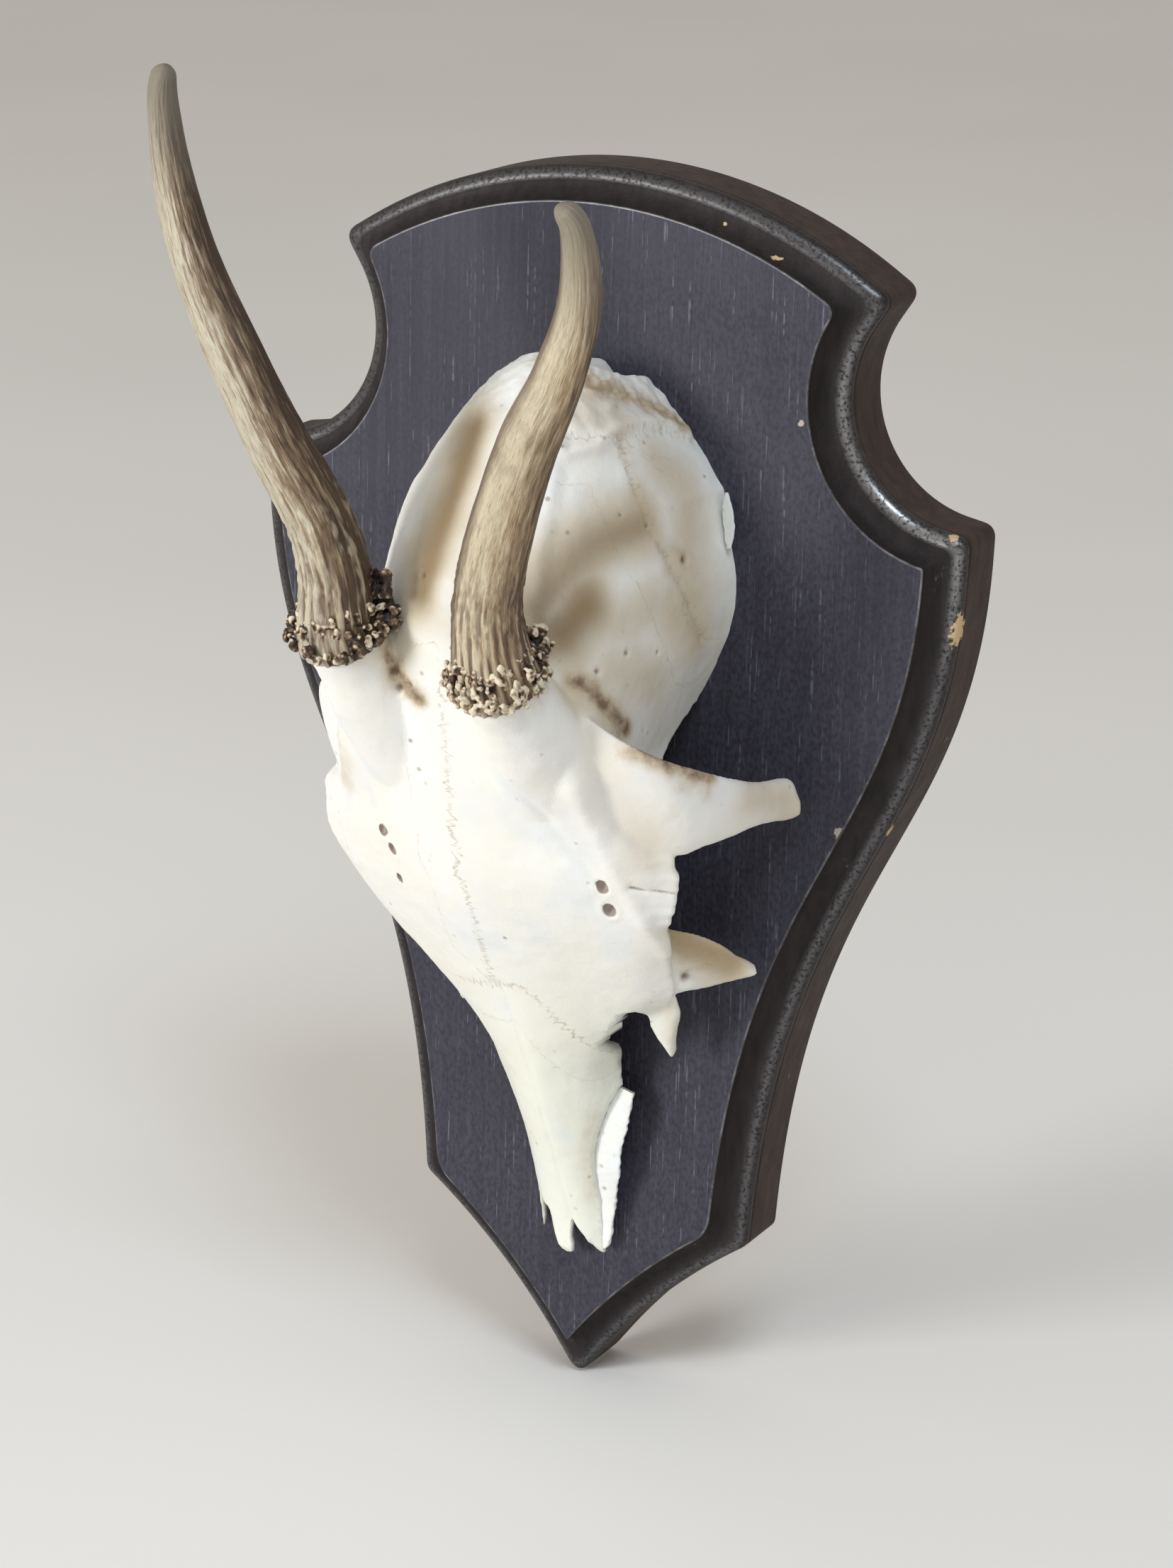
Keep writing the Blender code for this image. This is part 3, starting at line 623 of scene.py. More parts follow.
BROW_PROCESS = [
    (22, 38, 126, 20, 40, 147),
    (30, 32, 119, 30, 38.5, 141.5),
    (37, 26.5, 117, 37.5, 34, 137.3),
    (40.5, 22.5, 118.5, 41.8, 26, 133.6),
    (42.2, 17.5, 119, 43.8, 18, 130.6),
    (43.6, 12, 119.8, 44.3, 11, 128.3),
    (44.2, 6.5, 119.6, 44.5, 5.5, 127.6),
    (44.8, 2, 118.9, 45, 1.5, 126.6),
    (46, -0.4, 119.5, 45.9, 0, 123),
]
LACRIMAL_PRONG = [
    (27, 14, 84, 28.5, 18, 100),
    (30.5, 9.5, 84.6, 32, 11, 96.9),
    (34.2, 6, 85.6, 35.6, 6.4, 94),
    (37, 3.8, 86.6, 38.2, 3.8, 91.4),
    (39.2, 1.8, 87.6, 39.7, 1.8, 89.2),
]
CHEEK_PRONG = [
    (17.5, 12.5, 79, 28.5, 13, 86),
    (20.3, 9.8, 76.3, 28.4, 9.8, 80),
    (22.3, 7.6, 72.8, 26.4, 7.6, 74.6),
    (23.3, 5.9, 70.4, 25, 5.9, 71),
    (23.9, 4.9, 69, 24.4, 4.9, 69.2),
]
NASAL_SLIVER = [
    (11.5, 4, 58.9, 14.6, 3.6, 58),
    (9.6, 4.8, 56.2, 14.4, 4.2, 55.1),
    (8.2, 5.2, 52.6, 14.1, 4.4, 53),
    (7, 5.2, 49, 13.7, 4.4, 50.9),
    (5.9, 4.9, 44.2, 12.5, 4.2, 45.7),
    (5.8, 4.4, 40.8, 12, 3.8, 41.1),
    (6.1, 3.5, 37, 11, 3, 37.5),
    (6.6, 2.5, 32.8, 10.2, 2.2, 33.5),
    (6.5, 1.9, 28.2, 9.4, 1.8, 28.7),
    (6.6, 1.7, 24.6, 8.8, 1.7, 24.9),
    (7.2, 1.6, 23.4, 8, 1.6, 23.5),
]
SLIVER_CRACK = [(5.8, 2.6, 33.9), (10.8, 2.3, 33.6)]
RIM_FLAKE = [
    (27.4, -0.8, 176.8, 27.9, -0.8, 176.9),
    (26.9, -0.8, 173.6, 29, -0.8, 173.9),
    (27.5, -0.8, 169.8, 29.6, -0.8, 170.1),
    (28.1, -0.8, 166.6, 29, -0.8, 166.8),
]
LEFT_BLADE_CLEARANCE = 1.2
# Noise of the splinters' edges: size of a lump, seed, and share of the raggedness, for a, b and c
SPLINTER_NOISE = ((1.1, 2.0, 1.0), (1.6, 4.0, 0.4), (1.3, 6.0, 0.5))
SPLINTER_SHARP = math.radians(50)


def mirrored(stations):
    """The same blade on the left, kept clear of the board."""
    lowest = LEFT_BLADE_CLEARANCE / ROLL_COS
    lean = math.tan(CUT_ROLL)
    result = []
    for row in stations:
        points = []
        for a, b, c in (row[:3], row[3:]):
            points += [-a, max(b, a * lean + lowest), c]
        result.append(points)
    return result


NOSE_BREAK = [
    (-16, 8), (-16, 27.4), (-9.6, 26.4), (-8.4, 24.2), (-7.8, 22.6), (-7.3, 22.8), (-6.9, 24.4), (-6.5, 26.4),
    (-6.6, 28.8), (-6.9, 31), (-5.6, 30.4), (-4.2, 30), (-3.6, 29.3), (-2.9, 26.6), (-2.3, 24.6),
    (-1.5, 22.6), (-0.7, 21.9), (0.5, 21.5), (1.5, 21.7), (1.6, 23.3), (1.2, 24.8), (1.4, 26.6), (1.9, 28.8),
    (2.6, 28.2), (3.2, 27.3), (4.4, 25.8), (5, 24.6), (5.8, 24), (6.4, 23.2), (7.1, 22.6), (7.6, 22.4),
    (16, 21), (16, 8),
]
SIDE_BREAK = [
    (12.3, 70.2), (12.8, 68.6), (13, 67.2), (12.8, 66.1), (12.4, 64.6), (12.6, 62.8), (13.2, 61.4),
    (12.9, 60), (12, 59.2), (11.3, 57.4), (10.7, 56.2), (9.9, 53.9), (9.1, 51.6), (8.4, 49.5), (7.7, 46.8),
    (7.2, 44.6), (6.9, 41.4), (6.9, 38.6), (7.1, 36.4), (7.4, 33.2), (7.2, 30.6), (7.4, 28.2), (7.4, 25.4),
    (7.6, 22.6), (7.6, 8), (40, 8), (40, 64), (27, 66.5), (17, 69.5),
]
ETHMOID_NOTCH = [
    (12.4, 70.3), (13, 71.4), (13.7, 72.1), (14.8, 73), (15.6, 74.3), (16.5, 75.7), (17.9, 77.1),
    (19.1, 78.9), (20.5, 79.9), (22.5, 80.4), (23, 79.4), (22.6, 77.6), (22.3, 75.8), (22.7, 73.6),
    (23.1, 71.7), (23, 66), (14, 66), (12.8, 69),
]
CUTTER_LOW = -20.0
CUTTER_HIGH = 40.0
# The saw takes away everything below the cut: low and high corner
SAW_BOX = ((-150, SEAT_GAP - 40, -60), (150, SEAT_GAP, 400))
# How much deeper and longer than wide the foramina are
FORAMEN_SHAPE = (1.0, 1.3, 1.35)


def prism_mesh(name, corners):
    count = len(corners)
    points = [skull_point((a, b, c)) for b in (CUTTER_LOW, CUTTER_HIGH) for a, c in corners]
    faces = [list(range(count)), list(range(count, 2 * count))[::-1]]
    for k in range(count):
        n = (k + 1) % count
        faces.append([n, k, k + count, n + count])
    return joined(name, [mesh_from(name + "_raw", points, faces)])


def box_mesh(name, low, high):
    block = bmesh.new()
    bmesh.ops.create_cube(block, size=1.0)
    low, high = Vector(low), Vector(high)
    block.transform(Matrix.Translation((low + high) / 2) @ Matrix.Diagonal((*(high - low), 1.0)))
    return finished(name, block)


def antler_centres(side):
    path = np.array(ANTLER_PATH)
    if side < 0:
        path[:, 2] += LEFT_LATER
    path[:, 0] *= side
    radii = [share * PEDICLE_RADIUS for share in PEDICLE_SHARES]
    radii += [share * BEAM_RADIUS for share in BEAM_SHARES] + [TIP_RADIUS]
    return path, np.array(radii)


def tube(centres, radii, sides):
    """Points and faces of a closed tube with ring frames that don't twist."""
    heading = np.gradient(centres, axis=0)
    heading /= np.linalg.norm(heading, axis=1)[:, None]
    across = np.cross(heading[0], [0.0, 1.0, 0.0])
    frames = []
    for way in heading:
        across = across - way * (across @ way)
        across /= np.linalg.norm(across)
        frames.append((across, np.cross(way, across)))
    angles = np.linspace(0, 2 * math.pi, sides, endpoint=False)
    rings = [centre + (np.cos(angles)[:, None] * u + np.sin(angles)[:, None] * v) * radius
             for centre, radius, (u, v) in zip(centres, radii, frames)]
    return np.concatenate(rings), tube_faces(len(centres), sides)


def pedicle_mesh(name, side):
    path, radii = antler_centres(side)
    rows = np.linspace(0, BURR_ROW / (len(path) - 1), 30)
    points, faces = tube(curve_through(path, rows), curve_through(radii[:, None], rows)[:, 0], PEDICLE_SIDES)
    return mesh_from(name, [skull_point(p) for p in points], faces)


# Marks on the bone, each a line on its surface in the skull frame
FRONTAL_SUTURE = [
    (0.8, 48.4, 146), (0.2, 46.3, 136.6), (-0.9, 43.7, 126.4), (-1.2, 42.1, 117.3), (0, 41.2, 113.8),
    (-2, 39.9, 109.6), (-0.7, 38.6, 106.2), (-0.6, 36, 101), (-2, 31.7, 93.9), (-4, 25, 82.4),
]
NASAL_SUTURE = [
    (-14, 20, 80), (-8.9, 22.6, 80.9), (-3.1, 24.7, 82.4), (2.9, 25.4, 83.8), (5.7, 23.3, 80.7),
    (7.9, 20.6, 76.8), (9.4, 18.4, 74.2), (11.7, 12, 70.2),
]
NASAL_MIDLINE = [(-2, 24.6, 82.4), (-1, 16, 62), (0, 10.2, 46), (0.8, 7.2, 36), (1.9, 5, 28.6)]
ORBIT_HOLLOW = [(30, 17, 98), (31.8, 12, 94.2), (34.8, 8, 92), (36.6, 5.6, 91)]
PRONG_RIDGE = [(28, 14.6, 87), (30.8, 11.2, 88.6), (34.5, 7.6, 88.4), (38, 4.2, 89)]
SCRATCH = [(19.6, 24, 176.5), (22.2, 22.8, 173.2)]
DOME_SUTURE = [
    (12, 27, 189.5), (16.6, 18.4, 189), (19.9, 19.8, 183.7), (22, 19.6, 179.1), (23.7, 18.6, 173.8),
    (25.5, 14.6, 167.1), (27.1, 11.1, 160.4), (27.4, 5.4, 150.5),
]
BACK_SUTURE = [(16, 21, 188.6), (16.8, 14, 189), (17.6, 7, 188), (18.6, 0, 186.4)]
RIM_CRACK = [(31.3, 32, 111.2), (33.6, 30.4, 110.4), (35.2, 28.6, 110.3), (37.6, 26.3, 109.5)]
WHITE_RIDGE = [
    (25, 42, 131), (26.2, 40.9, 127.3), (27.8, 36.1, 118.5), (31.3, 29.4, 105.3), (33, 22, 96),
]
LEFT_RIDGE = [(-26, 41, 130), (-29.3, 36.7, 120.2), (-33.4, 32, 111.1), (-34, 26, 101)]
RIGHT_GROOVE = [
    (14.2, 50, 136), (16, 46, 131), (18.4, 43.4, 126.3), (22, 39, 118), (26, 34.4, 111.5),
]
LEFT_GROOVE = [(-22.2, 38.4, 120.6), (-21.7, 38, 116.8), (-21.5, 37.1, 113.6), (-19.9, 37, 111.8)]
NUCHAL_LINE = [
    (6, 31, 191), (12.9, 28.7, 187.1), (15.8, 23.7, 187.9), (15.8, 18.1, 190.1), (16, 12.3, 190.4),
    (16.7, 4.9, 189.3), (18.3, -1, 186.8),
]
TEMPORAL_LINE = [(16.5, 41.8, 163.2), (15.1, 39.8, 171.7), (13.4, 34.5, 180.6), (11, 30, 188)]
LEFT_FOSSA = [
    (-7.2, 30.7, 189.4), (-4.8, 37.1, 183.1), (-3.9, 42.1, 177.6), (-3.6, 45, 173.9), (-3.8, 47.6, 168.4),
    (-4.2, 49, 163),
]
FORAMINA = [
    (-19.1, 36, 108.7, 0.95), (-21.1, 36.6, 111.9, 0.75), (-19.7, 32.7, 102, 0.8), (26.5, 33.9, 110.6, 1),
    (26.6, 31.6, 105.7, 1.1),
]
PITS = [
    (25.3, 26.5, 152.4, 0.5), (26.4, 18.2, 150.9, 0.4), (23.7, 18.6, 173.8, 0.45), (21.8, 24.7, 176.6, 0.4),
    (26.2, 10.1, 166.3, 0.7), (30.8, 12.1, 87.9, 1.1), (-9, 49, 147.5, 0.8), (-8.2, 49, 144.6, 0.8),
    (-6, 48.4, 145.6, 0.6), (-10.2, 50, 150, 0.7), (-14, 40, 172, 0.5), (24, 33.8, 150.4, 0.6),
    (-5, 48.2, 166, 0.5), (20.4, 24, 181.5, 0.35), (27.6, 3.4, 160, 0.35), (19.6, 37, 165, 0.3),
]
# Each stain or patch of painted shade: its line, how far it reaches, how strong it is; from BROAD on it is a
# soft tint
BROAD = 3.0
# Real stains of the bone together with painted shade: the right antler's cast shadow on the dome, shade in
# the left temple hollow and the right eye socket, and soft brown shade on the dome's right side
STAIN_AND_SHADE_LINES = [
    ([(22.5, 38, 149), (25.5, 34, 144.5), (27, 29, 139.5), (29.5, 33.5, 139.6), (34.5, 35.6, 138.2),
     (38.5, 32.2, 136), (42, 25, 132)], 2.2, 0.95),
    ([(-9.9, 50.6, 151.4), (-8, 49.1, 146.5), (-4.5, 48.2, 143.4)], 1.9, 0.85),
    ([(43.4, 15, 127), (44.8, 6, 124), (45.8, 1, 121.5)], 4.5, 0.5),
    ([(33.9, 12, 92), (32, 18, 96), (33, 23, 101)], 3, 0.4),
    ([(0, 18, 201.5), (10.8, 17.5, 197), (13.6, 9, 195), (16.5, 2, 191), (19, -1, 188)], 2, 0.8),
    ([(10.8, 19.5, 195.4), (12.6, 11, 194.2), (15.2, 3.3, 190.7)], 5.5, 0.22),
    ([(10, 30, 190), (15.8, 23.7, 187.9)], 5, 0.2),
    ([(16.6, 18.4, 189), (22, 19.6, 179.1), (25.5, 14.6, 167.1), (27.4, 5.4, 150.5)], 1.8, 0.3),
    # Soft brown low on the dome's right: the bone's tint together with painted shade of the side turned from
    # the key light
    ([(20.7, 11.2, 183.8), (22.2, 9.3, 181.5), (24.4, 7.2, 177.2), (25.8, 8, 170)], 6, 0.5),
    # Painted shadow: the right antler and its burr casting their shade on the dome, with some brown tint of
    # the bone
    ([(16.5, 41.8, 163.2), (18.4, 37.8, 168), (20.4, 32.5, 172.2), (22.3, 26.3, 173.4), (23.2, 21, 174.2)],
     6, 0.85),
    ([(20.5, 39, 158), (21.8, 35, 162)], 7, 1),
    ([(26.2, 10.1, 166.3), (25, 12, 168.5)], 1.6, 0.45),
    # Painted shade in the hollow of the left temple
    (LEFT_FOSSA, 6.2, 1),
    # Painted shade in the hollow of the right eye socket, as a broad tint and as a mottled stain
    (ORBIT_HOLLOW, 4, 1),
    (ORBIT_HOLLOW, 2.9, 0.5),
    ([(6, 24, 196), (11, 22, 193), (14, 16, 192)], 5.5, 0.4),
    # These two: soft brown low on the dome's right and on the forehead's right below the antler, the bone's
    # tint together with painted shade of surfaces turned from the key light
    ([(27, 14, 158), (28.5, 8, 152), (27.5, 10, 166)], 7, 0.5),
    ([(25, 36, 142), (30, 34, 130), (33, 31, 118)], 5, 0.3),
    ([(29, 14, 89.4), (31.6, 10.6, 90.2), (34.4, 8, 90.2)], 0.9, 0.8),
    ([(9, 8.5, 53), (6.4, 7.2, 46), (5.9, 6.3, 40), (6, 5, 35)], 1.8, 0.2),
    ([(26, 12, 82), (26.2, 9, 78), (25.6, 7.6, 75)], 1.8, 0.3),
    ([(-1.6, 50.3, 160.6), (-6.6, 48.8, 162), (-8.8, 50.1, 157), (-7, 50, 153)], 5, 0.45),
    ([(-26, 41, 131), (-29.3, 36.7, 120.2)], 2.2, 0.3),
    ([(19, 45, 150), (24, 40, 146)], 3.5, 0.5),
    ([(18.8, 41.2, 155.3), (17, 42, 160.9)], 3.4, 0.85),
    # Soft brown on the dome's right side: the bone's tint together with painted shade
    ([(24.5, 29, 158), (26.5, 20, 160)], 6, 0.42),
    ([(25.5, 30, 150), (27.5, 20, 146)], 7, 0.45),
]


def foramina_mesh():
    """Small ovals that cut the holes of the nerves and vessels into the bone."""
    whole = bmesh.new()
    for a, b, c, size in FORAMINA:
        stretch = Vector([size * share for share in FORAMEN_SHAPE]) * MM
        bmesh.ops.create_uvsphere(whole, u_segments=28, v_segments=16, radius=1.0,
                                  matrix=Matrix.LocRotScale(skull_point((a, b, c)), None, stretch))
    return finished("foramina", whole)


def splinter_mesh(name, stations, thickness, ragged, crack=None):
    """A thin plate of bone with ragged edges and, where a crack is given, a break across it."""
    mesh = blade_mesh(name, stations, thickness, 64, 260, 0.4)
    at = surface(mesh)[2]
    shift = np.stack([grain(at, size, seed) * share for size, seed, share in SPLINTER_NOISE], 1) * ragged
    pit = 0.0
    if crack is not None:
        distance = along_line(at, crack)[0]
        shift[:, 1] -= 0.45 * bell(distance, 0.22)
        pit = 0.6 * bell(distance, 0.2)
    set_points(mesh, np.array([skull_point(p) for p in at + shift]))
    add_attributes(mesh, pit=pit, stain=0, tint=0, rough=0, suture=4, suture_run=0, back=100)
    mesh.shade_smooth()
    mesh.set_sharp_from_angle(angle=SPLINTER_SHARP)
    return mesh


def skull_mesh():
    meshes = [cap_mesh()]
    for name, blade, thick in (("brow", BROW_PROCESS, BROW_THICKNESS),
                               ("lacrimal", LACRIMAL_PRONG, LACRIMAL_THICKNESS),
                               ("cheek", CHEEK_PRONG, CHEEK_THICKNESS)):
        meshes.append(blade_mesh(name + "_right", blade, thick))
        meshes.append(blade_mesh(name + "_left", mirrored(blade), thick))
    meshes += [pedicle_mesh("pedicle_left", -1), pedicle_mesh("pedicle_right", 1)]
    fused = remeshed(joined("skull", meshes), SKULL_VOXEL, 6)
    saw = box_mesh("saw", *(board_point(*corner) for corner in SAW_BOX))
    tools = [show("cutter_" + str(k), cutter) for k, cutter in enumerate(
        (saw, prism_mesh("nose_break", NOSE_BREAK), prism_mesh("side_break", SIDE_BREAK),
         prism_mesh("notch", ETHMOID_NOTCH), foramina_mesh()))]
    cuts = [("BOOLEAN", {"operation": "DIFFERENCE", "solver": "MANIFOLD", "object": tool}) for tool in tools]
    mesh = with_modifiers(fused, *cuts)
    for tool in tools:
        bpy.data.objects.remove(tool, do_unlink=True)
    return mesh


# Relief along the lines: how high or deep it is, and how wide
RELIEF = [
    (WHITE_RIDGE, 0.7, 1.8), (LEFT_RIDGE, 0.6, 1.8), (NUCHAL_LINE, 0.9, 1.4), (TEMPORAL_LINE, 0.5, 1.8),
    (LEFT_FOSSA, -1.5, 3.8), (RIGHT_GROOVE, -0.4, 1.1), (LEFT_GROOVE, -0.5, 0.9), (RIM_CRACK, -0.4, 0.5),
    (NASAL_MIDLINE, -0.28, 0.5), (ORBIT_HOLLOW, -1.1, 2.6), (PRONG_RIDGE, 0.5, 0.8), (SCRATCH, -0.3, 0.45),
    (DOME_SUTURE, -0.22, 0.6),
]
# Sutures, each with where its zigzag starts, so that no two are alike
SUTURES = [(FRONTAL_SUTURE, 0), (NASAL_SUTURE, 200), (DOME_SUTURE, 600), (BACK_SUTURE, 800)]
SUTURE_REACH = 4
# The ragged break at the back, and where the roughness behind it starts
BACK_EDGE = [(0, 17, 201.5), (8, 16, 198.5), (13.6, 9, 195), (16.5, 2, 191), (20, -2, 187.5)]
ROUGH_START = (188, 193)
# Below this depth under the crown the bone is the braincase's inside, and stays smooth
INNER_DEPTH = (1.6, 2.6)
INNER_HALF_WIDTH = 6


def carve_skull(mesh):
    """Relief and marks of the bone: foramina, ridges, grooves, sutures, pores, stains and painted shade."""
    points, normals, at = surface(mesh)
    lift = 0.18 * grain(at, 9.0) + 0.10 * grain(at, 3.2, 7.0) + 0.05 * grain(at, 1.3, 3.0)
    for line, height, width in RELIEF:
        lift += height * bell(along_line(at, line)[0], width)
    # Darker in the foramina, pits and cracks: the brown of these hollows together with painted shade in them
    pit = np.zeros(len(at))
    for mark in FORAMINA + PITS:
        size = mark[3]
        distance = np.linalg.norm((at - mark[:3]) / FORAMEN_SHAPE, axis=1)
        if mark in PITS:
            lift += -1.1 * size * bell(distance, size)
            pit = np.maximum(pit, 0.8 * bell(distance, 0.9 * size))
        else:
            pit = np.maximum(pit, bell(distance, 1.12 * size, 6))
        lift += 0.16 * size * bell(distance - 1.6 * size, 0.5 * size)
    pit = np.maximum(pit, 0.7 * bell(along_line(at, RIM_CRACK)[0], 0.35))
    rough = bell(along_line(at, BACK_EDGE)[0], 2.6)
    lift += rough * (0.7 * grain(at, 1.5, 5.0) + 0.4 * grain(at, 0.7, 8.0))
    lift += step(*ROUGH_START, at[:, 2]) * (0.35 * grain(at, 2.6, 5.0) + 0.14 * grain(at, 1.0, 2.0))
    stain = np.zeros(len(at))
    tint = np.zeros(len(at))
    wobble = 1 + 0.45 * grain(at, 2.6, 11.0)
    drift = 1 + 0.3 * grain(at, 7.0, 13.0)
    # Stains and painted shade from the lines: narrow ones mottled, broad ones a soft tint
    for line, width, strength in STAIN_AND_SHADE_LINES:
        layer, spread = (stain, wobble) if width < BROAD else (tint, drift)
        np.maximum(layer, strength * np.exp(-(along_line(at, line)[0] / width * spread) ** 2), out=layer)
    near = np.full(len(at), 9.0)
    run = np.zeros(len(at))
    for line, shift in SUTURES:
        distance, place_on, offset, heading = along_line(at, line)
        side = np.sign(np.einsum("ij,ij->i", np.cross(heading, [0.0, 1.0, 0.0]), offset))
        closer = distance < np.abs(near)
        near = np.where(closer, distance * np.where(side == 0, 1, side), near)
        run = np.where(closer, place_on + shift, run)
    skin = smooth_table(CAP_STATIONS, at[:, 2])[:, 0]
    lift *= 1 - step(*INNER_DEPTH, skin - at[:, 1]) * (np.abs(at[:, 0]) < INNER_HALF_WIDTH)
    set_points(mesh, points + normals * (lift * MM)[:, None])
    add_attributes(mesh, pit=pit, stain=stain, tint=tint, suture=np.clip(near, -SUTURE_REACH, SUTURE_REACH),
                   suture_run=run, rough=rough, back=at[:, 2])


# Antlers

FLUTES = 24
# Right and left beam: how far the even flutes reach, how strong they are, how far the pearls reach
FLUTE_REACH = {1: 20.0, -1: 14.0}
FLUTE_SHARE = {1: 0.85, -1: 0.4}
PEARL_REACH = {1: 8.0, -1: 20.0}
PEARL_MIDDLE = 17
PEARL_HEIGHT = 0.26
LOW_REACH = 19.0
SWELL_HEIGHT = 0.3
COLLAR_HEIGHT = 1.0
COLLAR_REACH = 4.0
TIP_LENGTH = 2.2
# The way to the right in the photograph, as (x, h); the beams grow browner towards it, their own brown
# together with painted shade of the side turned from the key light
SIDEWAYS = (0.875, -0.483)


def beam_mesh(name, side):
    """One beam from inside its burr to its tip, with flutes, pearls and fine lines."""
    path, radii = antler_centres(side)
    first = (BURR_ROW - 0.25) / (len(path) - 1)
    rows = first + (1 - first) * np.linspace(0, 1, BEAM_RINGS)
    centres = curve_through(path, rows)
    sizes = curve_through(radii[:, None], rows)[:, 0]
    lengths = np.r_[0, np.cumsum(np.linalg.norm(np.diff(centres, axis=0), axis=1))]
    remaining = lengths[-1] - lengths
    ease = np.sqrt(np.clip(1 - (1 - np.clip(remaining / TIP_LENGTH, 0, 1)) ** 2, 0, 1))
    sizes = sizes * np.clip(ease, 0.04, 1)
    points, faces = tube(centres, sizes, BEAM_SIDES)
    angles = np.tile(np.linspace(0, 2 * math.pi, BEAM_SIDES, endpoint=False), BEAM_RINGS)
    run, size, remaining = (np.repeat(values, BEAM_SIDES) for values in (lengths, sizes, remaining))
    outward = (points - np.repeat(centres, BEAM_SIDES, axis=0)) / np.maximum(size, 1e-6)[:, None]
    circle = np.stack([np.cos(angles) * 6, np.sin(angles) * 6], 1)

    def lines(stretch, shift, lump, seed, share=1.0):
        """Noise drawn out along the beam; each beam has its own."""
        return grain(np.c_[circle * share, run * stretch + side * shift], lump, seed)

    wander = lines(0.05, 5, 1.3, 8.0, 0.4)
    comb = 2 * (0.5 + 0.5 * np.sin(angles * FLUTES + 2.6 * wander)) ** 1.7 - 1
    comb *= 0.85 + 0.5 * lines(0.33, 40, 2.4, 5.0)
    even = bell(run, FLUTE_REACH[side], 4) * FLUTE_SHARE[side]
    flutes = np.clip(lines(0.075, 40, 0.95, 2.0) * 2.1, -1, 1) * (1 - even) + comb * even
    fine = lines(0.12, 17, 0.42, 9.0)
    pearls = np.clip(lines(0.42, 40, 0.85, 4.0) * 1.9 - 0.15, -0.2, 1)
    swell = lines(0.1, 9, 1.6, 1.0, 1 / 3)
    low = bell(run, LOW_REACH, 2.5)
    middle = bell(run - PEARL_MIDDLE, PEARL_REACH[side])
    lift = flutes * (0.05 + 0.30 * low) + fine * (0.05 + 0.18 * low)
    lift += pearls * PEARL_HEIGHT * middle + swell * SWELL_HEIGHT
    lift += COLLAR_HEIGHT * np.exp(-run / COLLAR_REACH)
    lift *= np.clip(size / 3.0, 0.1, 1)
    points = points + outward * lift[:, None]
    mesh = mesh_from(name, [skull_point(p) for p in points], faces)
    groove = 0.5 - 0.5 * (flutes * (0.35 + 0.85 * low) + 0.7 * fine + 0.6 * (pearls - 0.1) * middle)
    right = outward[:, 0] * ROLL_COS - outward[:, 1] * ROLL_SIN
    front = outward[:, 0] * ROLL_SIN + outward[:, 1] * ROLL_COS
    add_attributes(mesh, groove=np.clip(groove, 0, 1), run=run, turn=angles, remaining=remaining,
                   side=SIDEWAYS[0] * right + SIDEWAYS[1] * front)
    mesh.shade_smooth()
    return mesh


# Crust beside each burr: its middle in the skull frame, its spread, and how many lumps it has
CRUSTS = {-1: [((-11, 53, 162.8), (1.6, 1.5, 2.3), 64), ((-9.6, 51, 158.4), (1.5, 1.4, 2), 44)],
          1: [((20.6, 49.5, 158), (1.6, 1.6, 1.9), 40)]}
BURR_SEED = {-1: 11, 1: 23}
# The core that the nodules sit on: its lower and upper radius, and its depth
BURR_CORE = (7.6, 7.2, 5.0)
# Rings of nodules: height along the beam, distance from its axis, and how many
BURR_RINGS = [
    (-3.1, 7.2, 26), (-2.2, 8.2, 32), (-1.2, 8.9, 36), (-0.1, 9.2, 38), (1, 9, 36), (2.1, 8.3, 32),
    (3, 7.4, 26),
]
COLLAR_LUMPS = 40
CREST_ROUNDS = 24


def convexity(mesh):
    """How far each point stands above the smoothed surface, in millimetres."""
    points, normals, _ = surface(mesh)
    edges = np.empty(len(mesh.edges) * 2, dtype=np.int64)
    mesh.edges.foreach_get("vertices", edges)
    start, end = edges.reshape(-1, 2).T
    degree = np.bincount(np.r_[start, end], minlength=len(points))[:, None]
    smooth = points.copy()
    for _ in range(CREST_ROUNDS):
        total = np.zeros_like(smooth)
        for k in range(3):
            total[:, k] = (np.bincount(start, smooth[end, k], len(points))
                           + np.bincount(end, smooth[start, k], len(points)))
        smooth = 0.5 * smooth + 0.5 * total / degree
    return np.einsum("ij,ij->i", points - smooth, normals) / MM


